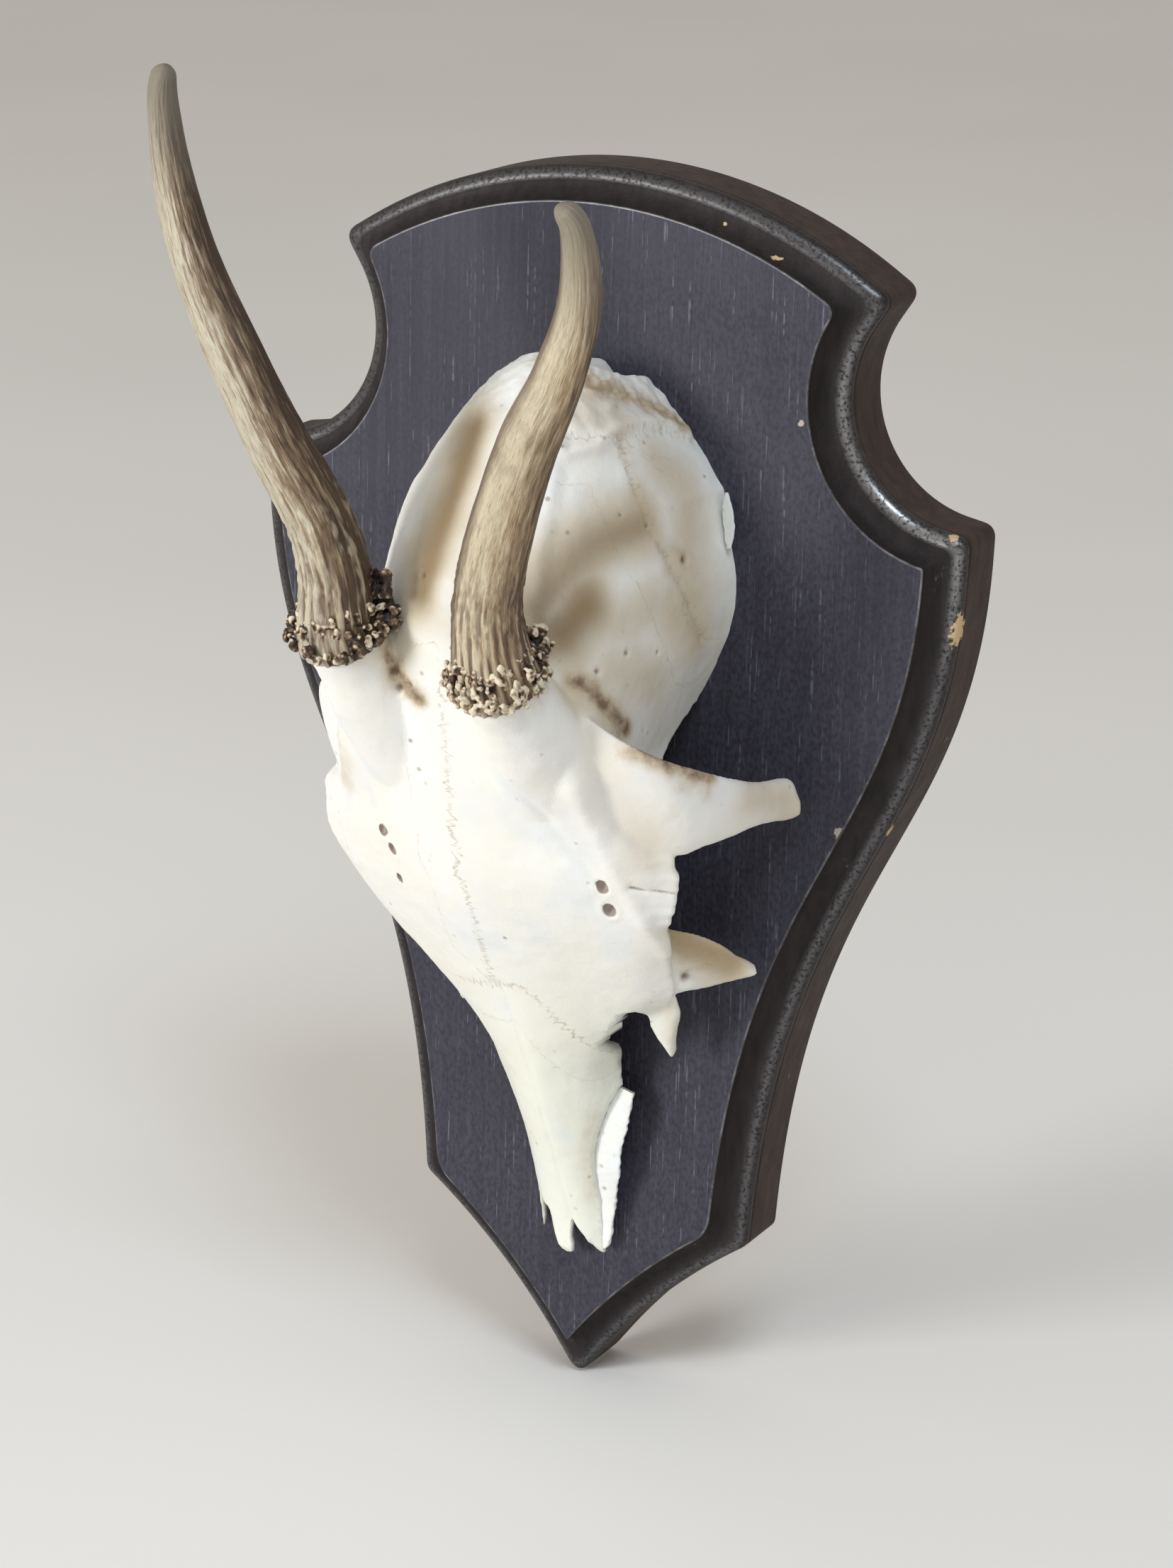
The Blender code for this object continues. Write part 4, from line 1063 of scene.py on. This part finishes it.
def burr_mesh(name, side):
    """The coronet: a lumpy ring of nodules fused together, with deep pits between them."""
    path, _ = antler_centres(side)
    way = path[BURR_ROW + 1] - path[BURR_ROW - 1]
    way /= np.linalg.norm(way)
    centre = path[BURR_ROW]
    u = np.cross(way, [0.0, 1.0, 0.0])
    u /= np.linalg.norm(u)
    v = np.cross(way, u)
    random = np.random.default_rng(BURR_SEED[side])
    whole = bmesh.new()
    up = (skull_point(centre + way) - skull_point(centre)).normalized()
    turn = Vector((0, 0, 1)).rotation_difference(up)
    low, high, depth = (size * MM for size in BURR_CORE)
    bmesh.ops.create_cone(whole, cap_ends=True, segments=48, radius1=low, radius2=high, depth=depth,
                          matrix=Matrix.LocRotScale(skull_point(centre), turn, None))

    def add_lump(at_point, radius, stretch):
        matrix = Matrix.Translation(skull_point(at_point)) @ turn.to_matrix().to_4x4()
        bmesh.ops.create_icosphere(whole, subdivisions=2, radius=radius * MM,
                                   matrix=matrix @ Matrix.Diagonal((1.0, 1.0, stretch, 1.0)))

    for height, reach, count in BURR_RINGS:
        for k in range(count):
            angle = 2 * math.pi * (k + random.uniform(-0.6, 0.6)) / count
            out = reach + random.uniform(-0.6, 0.55)
            rim = centre + (u * math.cos(angle) + v * math.sin(angle)) * out
            lump = rim + way * (height + random.uniform(-0.5, 0.5))
            add_lump(lump, random.uniform(0.34, 0.8), random.uniform(0.8, 1.9))
    for k in range(COLLAR_LUMPS):
        angle = 2 * math.pi * (k + random.uniform(-0.4, 0.4)) / COLLAR_LUMPS
        out = 6.5 + random.uniform(-0.3, 0.4)
        lump = centre + (u * math.cos(angle) + v * math.sin(angle)) * out + way * random.uniform(3.0, 5.2)
        add_lump(lump, random.uniform(0.4, 0.75), random.uniform(1.2, 2.6))
    for middle, spread, count in CRUSTS[side]:
        for k in range(count):
            lump = np.array(middle) + random.normal(size=3) * spread
            add_lump(lump, random.uniform(0.5, 1.1), random.uniform(0.8, 1.6))
    mesh = without_strays(remeshed(finished(name + "_raw", whole), BURR_VOXEL, 2))
    points, normals, at = surface(mesh)
    lift = 0.34 * grain(at, 1.0, 3.0) + 0.2 * grain(at, 0.5, 6.0)
    set_points(mesh, points + normals * (lift * MM)[:, None])
    add_attributes(mesh, crest=convexity(mesh))
    mesh.shade_smooth()
    return mesh


# Materials

class Nodes:
    """Short ways to add and link shader nodes."""

    def __init__(self, name):
        self.material = bpy.data.materials.new(name)
        self.material.use_nodes = True
        self.tree = self.material.node_tree
        self.shader = self.tree.nodes["Principled BSDF"]
        self.place = self.new("ShaderNodeTexCoord").outputs["Object"]

    def new(self, kind, **settings):
        node = self.tree.nodes.new(kind)
        for key, value in settings.items():
            setattr(node, key, value)
        return node

    def put(self, socket, value):
        if isinstance(value, bpy.types.NodeSocket):
            self.tree.links.new(value, socket)
        elif isinstance(value, tuple) and len(value) == 3 and len(socket.default_value) == 4:
            socket.default_value = (*value, 1.0)
        else:
            socket.default_value = value

    def attribute(self, name):
        return self.new("ShaderNodeAttribute", attribute_name=name).outputs["Fac"]

    def scaled(self, x, y, z):
        node = self.new("ShaderNodeMapping")
        self.put(node.inputs["Vector"], self.place)
        node.inputs["Scale"].default_value = (x, y, z)
        return node.outputs["Vector"]

    def noise(self, vector, scale=1.0, detail=4.0, rough=0.5):
        node = self.new("ShaderNodeTexNoise")
        self.put(node.inputs["Vector"], vector)
        for key, number in (("Scale", scale), ("Detail", detail), ("Roughness", rough)):
            node.inputs[key].default_value = number
        return node.outputs["Fac"]

    def cells(self, scale):
        node = self.new("ShaderNodeTexVoronoi")
        self.put(node.inputs["Vector"], self.place)
        node.inputs["Scale"].default_value = scale
        return node.outputs["Distance"]

    def ramp(self, value, *stops):
        """Values or colours at positions, linear between them."""
        node = self.new("ShaderNodeValToRGB")
        self.put(node.inputs["Fac"], value)
        elements = node.color_ramp.elements
        while len(elements) < len(stops):
            elements.new(0.5)
        for element, (position, colour) in zip(elements, stops):
            element.position = position
            if not isinstance(colour, tuple):
                colour = (colour,) * 3
            element.color = (*colour, 1.0)
        return node.outputs["Color"]

    def math(self, operation, a, b=0.0, clamp=False):
        node = self.new("ShaderNodeMath", operation=operation, use_clamp=clamp)
        self.put(node.inputs[0], a)
        self.put(node.inputs[1], b)
        return node.outputs[0]

    def times(self, a, b, clamp=False):
        return self.math("MULTIPLY", a, b, clamp)

    def mapped(self, value, low, high, out_low=0.0, out_high=1.0):
        node = self.new("ShaderNodeMapRange")
        self.put(node.inputs["Value"], value)
        for key, number in (("From Min", low), ("From Max", high), ("To Min", out_low), ("To Max", out_high)):
            node.inputs[key].default_value = number
        return node.outputs["Result"]

    def mix(self, factor, a, b, blend="MIX"):
        node = self.new("ShaderNodeMix", data_type="RGBA", blend_type=blend)
        self.put(node.inputs[0], factor)
        self.put(node.inputs[6], a)
        self.put(node.inputs[7], b)
        return node.outputs[2]

    def bump(self, *layers):
        """Stacked bumps: (height, distance in metres, strength)."""
        normal = None
        for height, distance, strength in layers:
            node = self.new("ShaderNodeBump")
            self.put(node.inputs["Height"], height)
            node.inputs["Distance"].default_value = distance
            node.inputs["Strength"].default_value = strength
            if normal is not None:
                self.put(node.inputs["Normal"], normal)
            normal = node.outputs["Normal"]
        self.put(self.shader.inputs["Normal"], normal)

    def finish(self, colour, roughness, **plain):
        self.put(self.shader.inputs["Base Color"], colour)
        self.put(self.shader.inputs["Roughness"], roughness)
        for key, value in plain.items():
            self.shader.inputs[key.replace("_", " ")].default_value = value
        return self.material


def spot(n, centre, size, stretch=(1.0, 1.0, 1.0)):
    """A ragged patch, 1 inside, round a board point."""
    where = board_point(*centre)
    shifted = n.new("ShaderNodeMapping")
    n.put(shifted.inputs["Vector"], n.place)
    shifted.inputs["Location"].default_value = [-w * s / (size * MM) for w, s in zip(where, stretch)]
    shifted.inputs["Scale"].default_value = [s / (size * MM) for s in stretch]
    length = n.new("ShaderNodeVectorMath", operation="LENGTH")
    n.put(length.inputs[0], shifted.outputs["Vector"])
    ragged = n.noise(n.place, 900.0, 3.0, 0.6)
    rim = n.math("ADD", length.outputs["Value"], n.mapped(ragged, 0.3, 0.7, -0.45, 0.45))
    return n.mapped(rim, 0.85, 1.1, 1.0, 0.0)


BARE_WOOD = (0.55, 0.38, 0.20)


def face_wood():
    n = Nodes("plaque_face")
    pores = n.noise(n.scaled(2000, 2000, 60), 1.0, 1.0, 0.4)
    dashes = n.noise(n.scaled(600, 600, 520), 1.0, 1.0, 0.4)
    grain_lines = n.noise(n.scaled(900, 900, 8), 1.0, 3.0, 0.6)
    speckle = n.noise(n.scaled(1, 1, 0.6), 1500.0, 3.0, 0.6)
    cloud = n.noise(n.scaled(1, 1, 0.4), 30.0, 4.0, 0.6)
    base = n.mix(n.mapped(cloud, 0.35, 0.65), (0.033, 0.032, 0.047), (0.048, 0.047, 0.068))
    base = n.mix(n.mapped(grain_lines, 0.4, 0.66, 0.0, 0.5), base, (0.060, 0.058, 0.080))
    base = n.mix(n.mapped(speckle, 0.60, 0.36, 0.0, 0.6), base, (0.012, 0.011, 0.016))
    streak = n.times(n.mapped(pores, 0.64, 0.71), n.mapped(dashes, 0.42, 0.56))
    colour = n.mix(n.times(streak, 0.8), base, (0.13, 0.13, 0.165))
    for centre, size in (((42.8, 0.0, 191.0), 0.55), ((54.4, -0.1, 115.6), 1.3)):
        colour = n.mix(spot(n, centre, size), colour, (0.42, 0.36, 0.30))
    n.bump((pores, 0.0003, 0.3), (speckle, 0.0002, 0.3))
    return n.finish(colour, n.mapped(speckle, 0.3, 0.7, 0.52, 0.68), Specular_IOR_Level=0.28)


# Where the bead is polished, in the lower part of the right scallop: fully in the core, least past the reach
POLISHED_MIDDLE = (58.0, -5.0, 180.0)
POLISHED_REACH = 34.0
POLISHED_CORE = 13.6
POLISHED_LEAST = 0.3


def moulding_wood(name, dark, light, gloss, chips, polished=False):
    n = Nodes(name)
    fibres = n.noise(n.scaled(420, 420, 90), 1.0, 4.0, 0.6)
    blots = n.noise(n.place, 160.0, 5.0, 0.65)
    colour = n.mix(n.mapped(fibres, 0.35, 0.7), dark, light)
    pale_patches = n.times(n.mapped(blots, 0.66, 0.74), n.mapped(fibres, 0.5, 0.62))
    colour = n.mix(pale_patches, colour, (0.16, 0.15, 0.16))
    for centre, size, stretch in chips:
        colour = n.mix(spot(n, centre, size, stretch), colour, BARE_WOOD)
    crackle = n.noise(n.place, 1500.0, 3.0, 0.6)
    n.bump((blots, 0.0005, 0.25), (crackle, 0.0003, 0.5))
    if polished:
        reach = n.new("ShaderNodeVectorMath", operation="DISTANCE")
        n.put(reach.inputs[0], n.place)
        reach.inputs[1].default_value = board_point(*POLISHED_MIDDLE)
        reach = reach.outputs["Value"]
        polish = n.mapped(reach, POLISHED_REACH * MM, POLISHED_CORE * MM, POLISHED_LEAST, 1.0)
        polish = n.times(polish, n.attribute("crest"))
        n.put(n.shader.inputs["Coat Weight"], n.times(polish, n.mapped(crackle, 0.38, 0.52, 0.1, 1.0)))
        return n.finish(colour, gloss, Coat_IOR=3.8, Coat_Roughness=0.31, Specular_IOR_Level=0.22)
    return n.finish(colour, n.mapped(blots, 0.3, 0.7, gloss, gloss + 0.12), Specular_IOR_Level=0.22)


def arris_wood():
    n = Nodes("plaque_arris")
    pale_patches = n.noise(n.place, 210.0, 5.0, 0.7)
    # Painted highlight: a patchy pale grey line along the arris, where the sharp edge catches the light
    colour = n.mix(n.mapped(pale_patches, 0.46, 0.66), (0.030, 0.028, 0.034), (0.17, 0.165, 0.175))
    n.bump((pale_patches, 0.0003, 0.4),)
    return n.finish(colour, 0.4, Coat_Weight=0.3, Coat_Roughness=0.3)


RIDGE_CHIPS = [
    ((72.9, -5.8, 156), 1.6, (1, 1, 0.5)), ((71.3, -5.4, 173.1), 0.9, (1, 1, 1)), ((60.9, -7, 115.7), 1,
    (1, 1, 0.7)),
]
COVE_CHIPS = [
    ((35.8, -2.4, 219.5), 0.7, (0.35, 1, 2)), ((35.4, -2.2, 220.5), 0.6, (1.6, 1, 0.4)), ((24.5, -3.5, 224.4),
    0.4, (1, 1, 1)),
]


def bone_material():
    n = Nodes("bleached_bone")
    patch = n.noise(n.place, 45.0, 4.0, 0.6)
    fine = n.noise(n.place, 420.0, 4.0, 0.6)
    pores = n.noise(n.place, 2600.0, 2.0, 0.5)
    back = n.attribute("back")
    colour = n.mix(n.mapped(patch, 0.35, 0.65), (0.79, 0.775, 0.71), (0.81, 0.81, 0.785))
    nasal = n.times(n.mapped(back, 92.0, 70.0), n.mapped(patch, 0.3, 0.62, 0.5, 1.0))
    colour = n.mix(n.times(nasal, 0.7), colour, (0.73, 0.735, 0.62))
    bluish = n.times(n.mapped(n.noise(n.place, 70.0, 2.0, 0.5), 0.55, 0.7), 0.5)
    colour = n.mix(bluish, colour, (0.70, 0.74, 0.78))
    stain = n.attribute("stain")
    # Broad tint: the bone's soft brown and painted shade, deepest brown where the antler's shadow and the
    # shade in the hollows are painted
    soft = n.ramp(n.attribute("tint"), (0.0, 1.0), (0.5, (0.74, 0.66, 0.54)), (1.0, (0.36, 0.26, 0.15)))
    colour = n.mix(1.0, colour, soft, "MULTIPLY")
    # Narrow marks: real brown stains, and painted shade inside the right eye socket
    mottled = n.times(stain, n.mapped(fine, 0.25, 0.6, 0.6, 1.2), clamp=True)
    colour = n.mix(n.mapped(mottled, 0.0, 0.55, 0.0, 0.75), colour, (0.46, 0.35, 0.21))
    colour = n.mix(n.mapped(mottled, 0.5, 1.0, 0.0, 0.9), colour, (0.15, 0.085, 0.04))
    specks = n.times(n.mapped(n.cells(260.0), 0.16, 0.06), n.mapped(patch, 0.5, 0.6))
    colour = n.mix(n.times(specks, 0.7), colour, (0.30, 0.21, 0.13))
    rough_zone = n.attribute("rough")
    colour = n.mix(n.times(rough_zone, n.mapped(fine, 0.42, 0.62, 0.1, 0.8)), colour, (0.42, 0.32, 0.20))
    run = n.attribute("suture_run")
    combined = n.new("ShaderNodeCombineXYZ")
    n.put(combined.inputs["X"], run)
    teeth = n.noise(combined.outputs["Vector"], 0.85, 3.0, 0.65)
    swing = n.mapped(teeth, 0.25, 0.75, -2.4, 2.4)
    line = n.math("ABSOLUTE", n.math("SUBTRACT", n.attribute("suture"), swing))
    seam = n.mapped(line, 0.12, 0.5, 1.0, 0.0)
    seam = n.times(seam, n.mapped(fine, 0.38, 0.6, 0.1, 0.75))
    colour = n.mix(seam, colour, (0.46, 0.38, 0.27))
    # Dark brown in the foramina, pits and cracks: their own brown together with painted shade in the hollows
    pit = n.attribute("pit")
    colour = n.mix(n.mapped(pit, 0.25, 0.8), colour, (0.17, 0.088, 0.042))
    n.bump((n.math("SUBTRACT", fine, n.times(seam, 0.8)), 0.0003, 0.35), (pores, 0.00012, 0.3))
    return n.finish(colour, n.mapped(fine, 0.3, 0.7, 0.42, 0.62), Specular_IOR_Level=0.45,
                    Subsurface_Weight=0.12, Subsurface_Scale=0.004)


def antler_material(name, cream, tan, brown, stops, edge):
    n = Nodes(name)
    run, turn = n.attribute("run"), n.attribute("turn")
    around = n.new("ShaderNodeCombineXYZ")
    n.put(around.inputs["X"], n.times(n.math("SINE", turn), 6.0))
    n.put(around.inputs["Y"], n.times(n.math("COSINE", turn), 6.0))
    n.put(around.inputs["Z"], n.times(run, 0.11))
    streaks = n.noise(around.outputs["Vector"], 1.3, 5.0, 0.65)
    lines = n.noise(around.outputs["Vector"], 4.2, 3.0, 0.6)
    patch = n.noise(n.place, 60.0, 4.0, 0.6)
    side = n.attribute("side")
    groove = n.attribute("groove")
    # Browner towards the beam's right side: the antler's own brown together with painted shade of the side
    # turned from the key light
    tone = n.math("ADD", n.mapped(side, -0.6, 1.0, 0.0, 0.85), n.mapped(streaks, 0.32, 0.68, -0.36, 0.36))
    colour = n.ramp(tone, *zip(stops, (cream, tan, brown)))
    colour = n.mix(n.mapped(lines, 0.5, 0.66, 0.0, 0.42), colour, brown)
    deep = n.times(n.mapped(groove, 0.52, 0.9), n.mapped(run, 42.0, 4.0, 0.15, 0.95))
    colour = n.mix(deep, colour, (0.10, 0.055, 0.03))
    high = n.times(n.mapped(groove, 0.42, 0.15), n.mapped(run, 40.0, 4.0, 0.05, 0.75))
    colour = n.mix(high, colour, (0.50, 0.42, 0.29))
    tip = n.attribute("remaining")
    colour = n.mix(n.mapped(tip, 26.0, 5.0, 0.0, 0.85), colour, (0.19, 0.165, 0.125))
    colour = n.mix(n.mapped(side, -0.80, -0.97, 0.0, edge), colour, brown)
    colour = n.mix(n.mapped(patch, 0.62, 0.72, 0.0, 0.35), colour, brown)
    n.bump((streaks, 0.0005, 0.4), (lines, 0.0003, 0.4))
    return n.finish(colour, n.mapped(streaks, 0.3, 0.7, 0.38, 0.58), Specular_IOR_Level=0.5)


def burr_material(name, pale):
    n = Nodes(name)
    fine = n.noise(n.place, 900.0, 4.0, 0.6)
    patch = n.noise(n.place, 170.0, 3.0, 0.6)
    crest = n.math("ADD", n.attribute("crest"), n.mapped(patch, 0.3, 0.7, pale - 0.24, pale + 0.20))
    colour = n.ramp(n.mapped(crest, -0.35, 0.55), (0.30, (0.012, 0.007, 0.005)),
                    (0.46, (0.060, 0.030, 0.017)), (0.57, (0.22, 0.135, 0.075)), (0.72, (0.66, 0.58, 0.43)))
    colour = n.mix(n.mapped(fine, 0.56, 0.7, 0.0, 0.6), colour, (0.06, 0.03, 0.018))
    n.bump((fine, 0.0003, 0.5),)
    return n.finish(colour, 0.55, Specular_IOR_Level=0.45)


SIDES = {-1: "left", 1: "right"}
# Each beam's cream, tan and brown, where they lie on the ramp, and how brown its left edge is
ANTLER_TONES = {
    -1: ((0.50, 0.45, 0.34), (0.22, 0.15, 0.085), (0.048, 0.026, 0.014), (0.04, 0.34, 0.66), 0.0),
    1: ((0.55, 0.475, 0.335), (0.35, 0.25, 0.14), (0.085, 0.048, 0.028), (0.12, 0.47, 0.88), 0.85),
}
BURR_PALE = {-1: -0.07, 1: 0.08}


def plain_stage():
    n = Nodes("pale_floor")
    soft = n.noise(n.place, 3.0, 2.0, 0.5)
    return n.finish(n.mix(n.mapped(soft, 0.3, 0.7), (0.80, 0.78, 0.75), (0.84, 0.82, 0.79)), 0.85)


# Camera, lights and floor

CAMERA_PLACE = (0.3455, -0.6545, 0.1826)
CAMERA_RIGHT = (0.8753, 0.4830, 0.0250)
CAMERA_DOWN = (0.1699, -0.2587, -0.9509)
CAMERA_AHEAD = (-0.4528, 0.8366, -0.3085)
FOCAL_PIXELS = 5685.0
FRAME_HEIGHT = 2212
SENSOR = 36.0
# Lights: direction, distance, size, power and colour
LIGHTS = {"key": ((-0.60, -1.0, 0.22), 1.6, 0.5, 17.5, (1.0, 0.997, 0.98)),
          "sky": ((0.40, -0.50, 0.85), 1.7, 0.6, 11.5, (0.76, 0.87, 1.0))}
LIGHT_TARGET = Vector((0.0, -0.03, -0.03))
WORLD_COLOUR = (1.0, 0.955, 0.89, 1.0)
WORLD_STRENGTH = 0.50
FLOOR_SIZE = 12.0
FLOOR_GAP = 0.0005


def make_camera():
    data = bpy.data.cameras.new("camera")
    data.sensor_width = SENSOR
    data.lens = FOCAL_PIXELS / FRAME_HEIGHT * SENSOR
    data.clip_start = 0.01
    camera = bpy.data.objects.new("camera", data)
    bpy.context.scene.collection.objects.link(camera)
    right, up, back = Vector(CAMERA_RIGHT), -Vector(CAMERA_DOWN), -Vector(CAMERA_AHEAD)
    turn = Matrix((right, up, back)).transposed().to_4x4()
    camera.matrix_world = Matrix.Translation(CAMERA_PLACE) @ turn
    bpy.context.scene.camera = camera


def area_light(name, direction, distance, size, power, colour):
    data = bpy.data.lights.new(name, "AREA")
    data.shape = "DISK"
    data.size = size
    data.energy = power
    data.color = colour
    lamp = bpy.data.objects.new(name, data)
    bpy.context.scene.collection.objects.link(lamp)
    lamp.location = LIGHT_TARGET + Vector(direction).normalized() * distance
    lamp.rotation_euler = (LIGHT_TARGET - lamp.location).to_track_quat("-Z", "Y").to_euler()


def make_world():
    world = bpy.data.worlds.new("studio")
    bpy.context.scene.world = world
    world.use_nodes = True
    background = world.node_tree.nodes["Background"]
    background.inputs["Color"].default_value = WORLD_COLOUR
    background.inputs["Strength"].default_value = WORLD_STRENGTH


def make_floor():
    shape = bmesh.new()
    bmesh.ops.create_grid(shape, x_segments=2, y_segments=2, size=FLOOR_SIZE)
    floor = finished("floor", shape)
    plane = show("floor", floor)
    plane.location = (0.0, 0.0, cad_box[0][2] - FLOOR_GAP)
    floor.materials.append(plain_stage())


def add_piece(name, mesh, node, materials):
    if len(materials) == 1:
        mesh.materials.clear()
        mesh.polygons.foreach_set("material_index", [0] * len(mesh.polygons))
    for material in materials:
        mesh.materials.append(material)
    piece = show(name, mesh)
    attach(piece, "root")
    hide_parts(node)


def add_bone(name, mesh, material):
    add_piece(name, mesh, "skull_and_antlers", [material])


def main():
    make_camera()
    make_world()
    bpy.context.scene.view_settings.view_transform = "Standard"
    for name, light in LIGHTS.items():
        area_light(name, *light)
    make_floor()
    add_piece("board", board_mesh(), "shield", [
        face_wood(),
        moulding_wood("plaque_cove", (0.012, 0.009, 0.009), (0.026, 0.019, 0.019), 0.55, COVE_CHIPS),
        moulding_wood("plaque_bead", (0.010, 0.008, 0.009), (0.022, 0.018, 0.020), 0.42, RIDGE_CHIPS, True),
        moulding_wood("plaque_side", (0.030, 0.018, 0.014), (0.055, 0.034, 0.026), 0.55, RIDGE_CHIPS),
        arris_wood(),
    ])
    skull = skull_mesh()
    carve_skull(skull)
    count = sum(len(face.vertices) - 2 for face in skull.polygons)
    if count > SKULL_TRIANGLES:
        skull = with_modifiers(skull, ("DECIMATE", {"ratio": SKULL_TRIANGLES / count}))
    skull = without_strays(skull)
    skull.shade_smooth()
    bone = bone_material()
    add_bone("skull_cap", skull, bone)
    sliver = splinter_mesh("nasal_sliver", NASAL_SLIVER, SLIVER_THICKNESS, 0.28, SLIVER_CRACK)
    add_bone("nasal_sliver", sliver, bone)
    add_bone("rim_flake", splinter_mesh("rim_flake", RIM_FLAKE, 0.5, 0.15), bone)
    for side, name in SIDES.items():
        material = antler_material("antler_" + name, *ANTLER_TONES[side])
        add_bone("beam_" + name, beam_mesh("beam_" + name, side), material)
    for side, name in SIDES.items():
        material = burr_material("burr_" + name, BURR_PALE[side])
        add_bone("burr_" + name, burr_mesh("burr_" + name, side), material)


main()
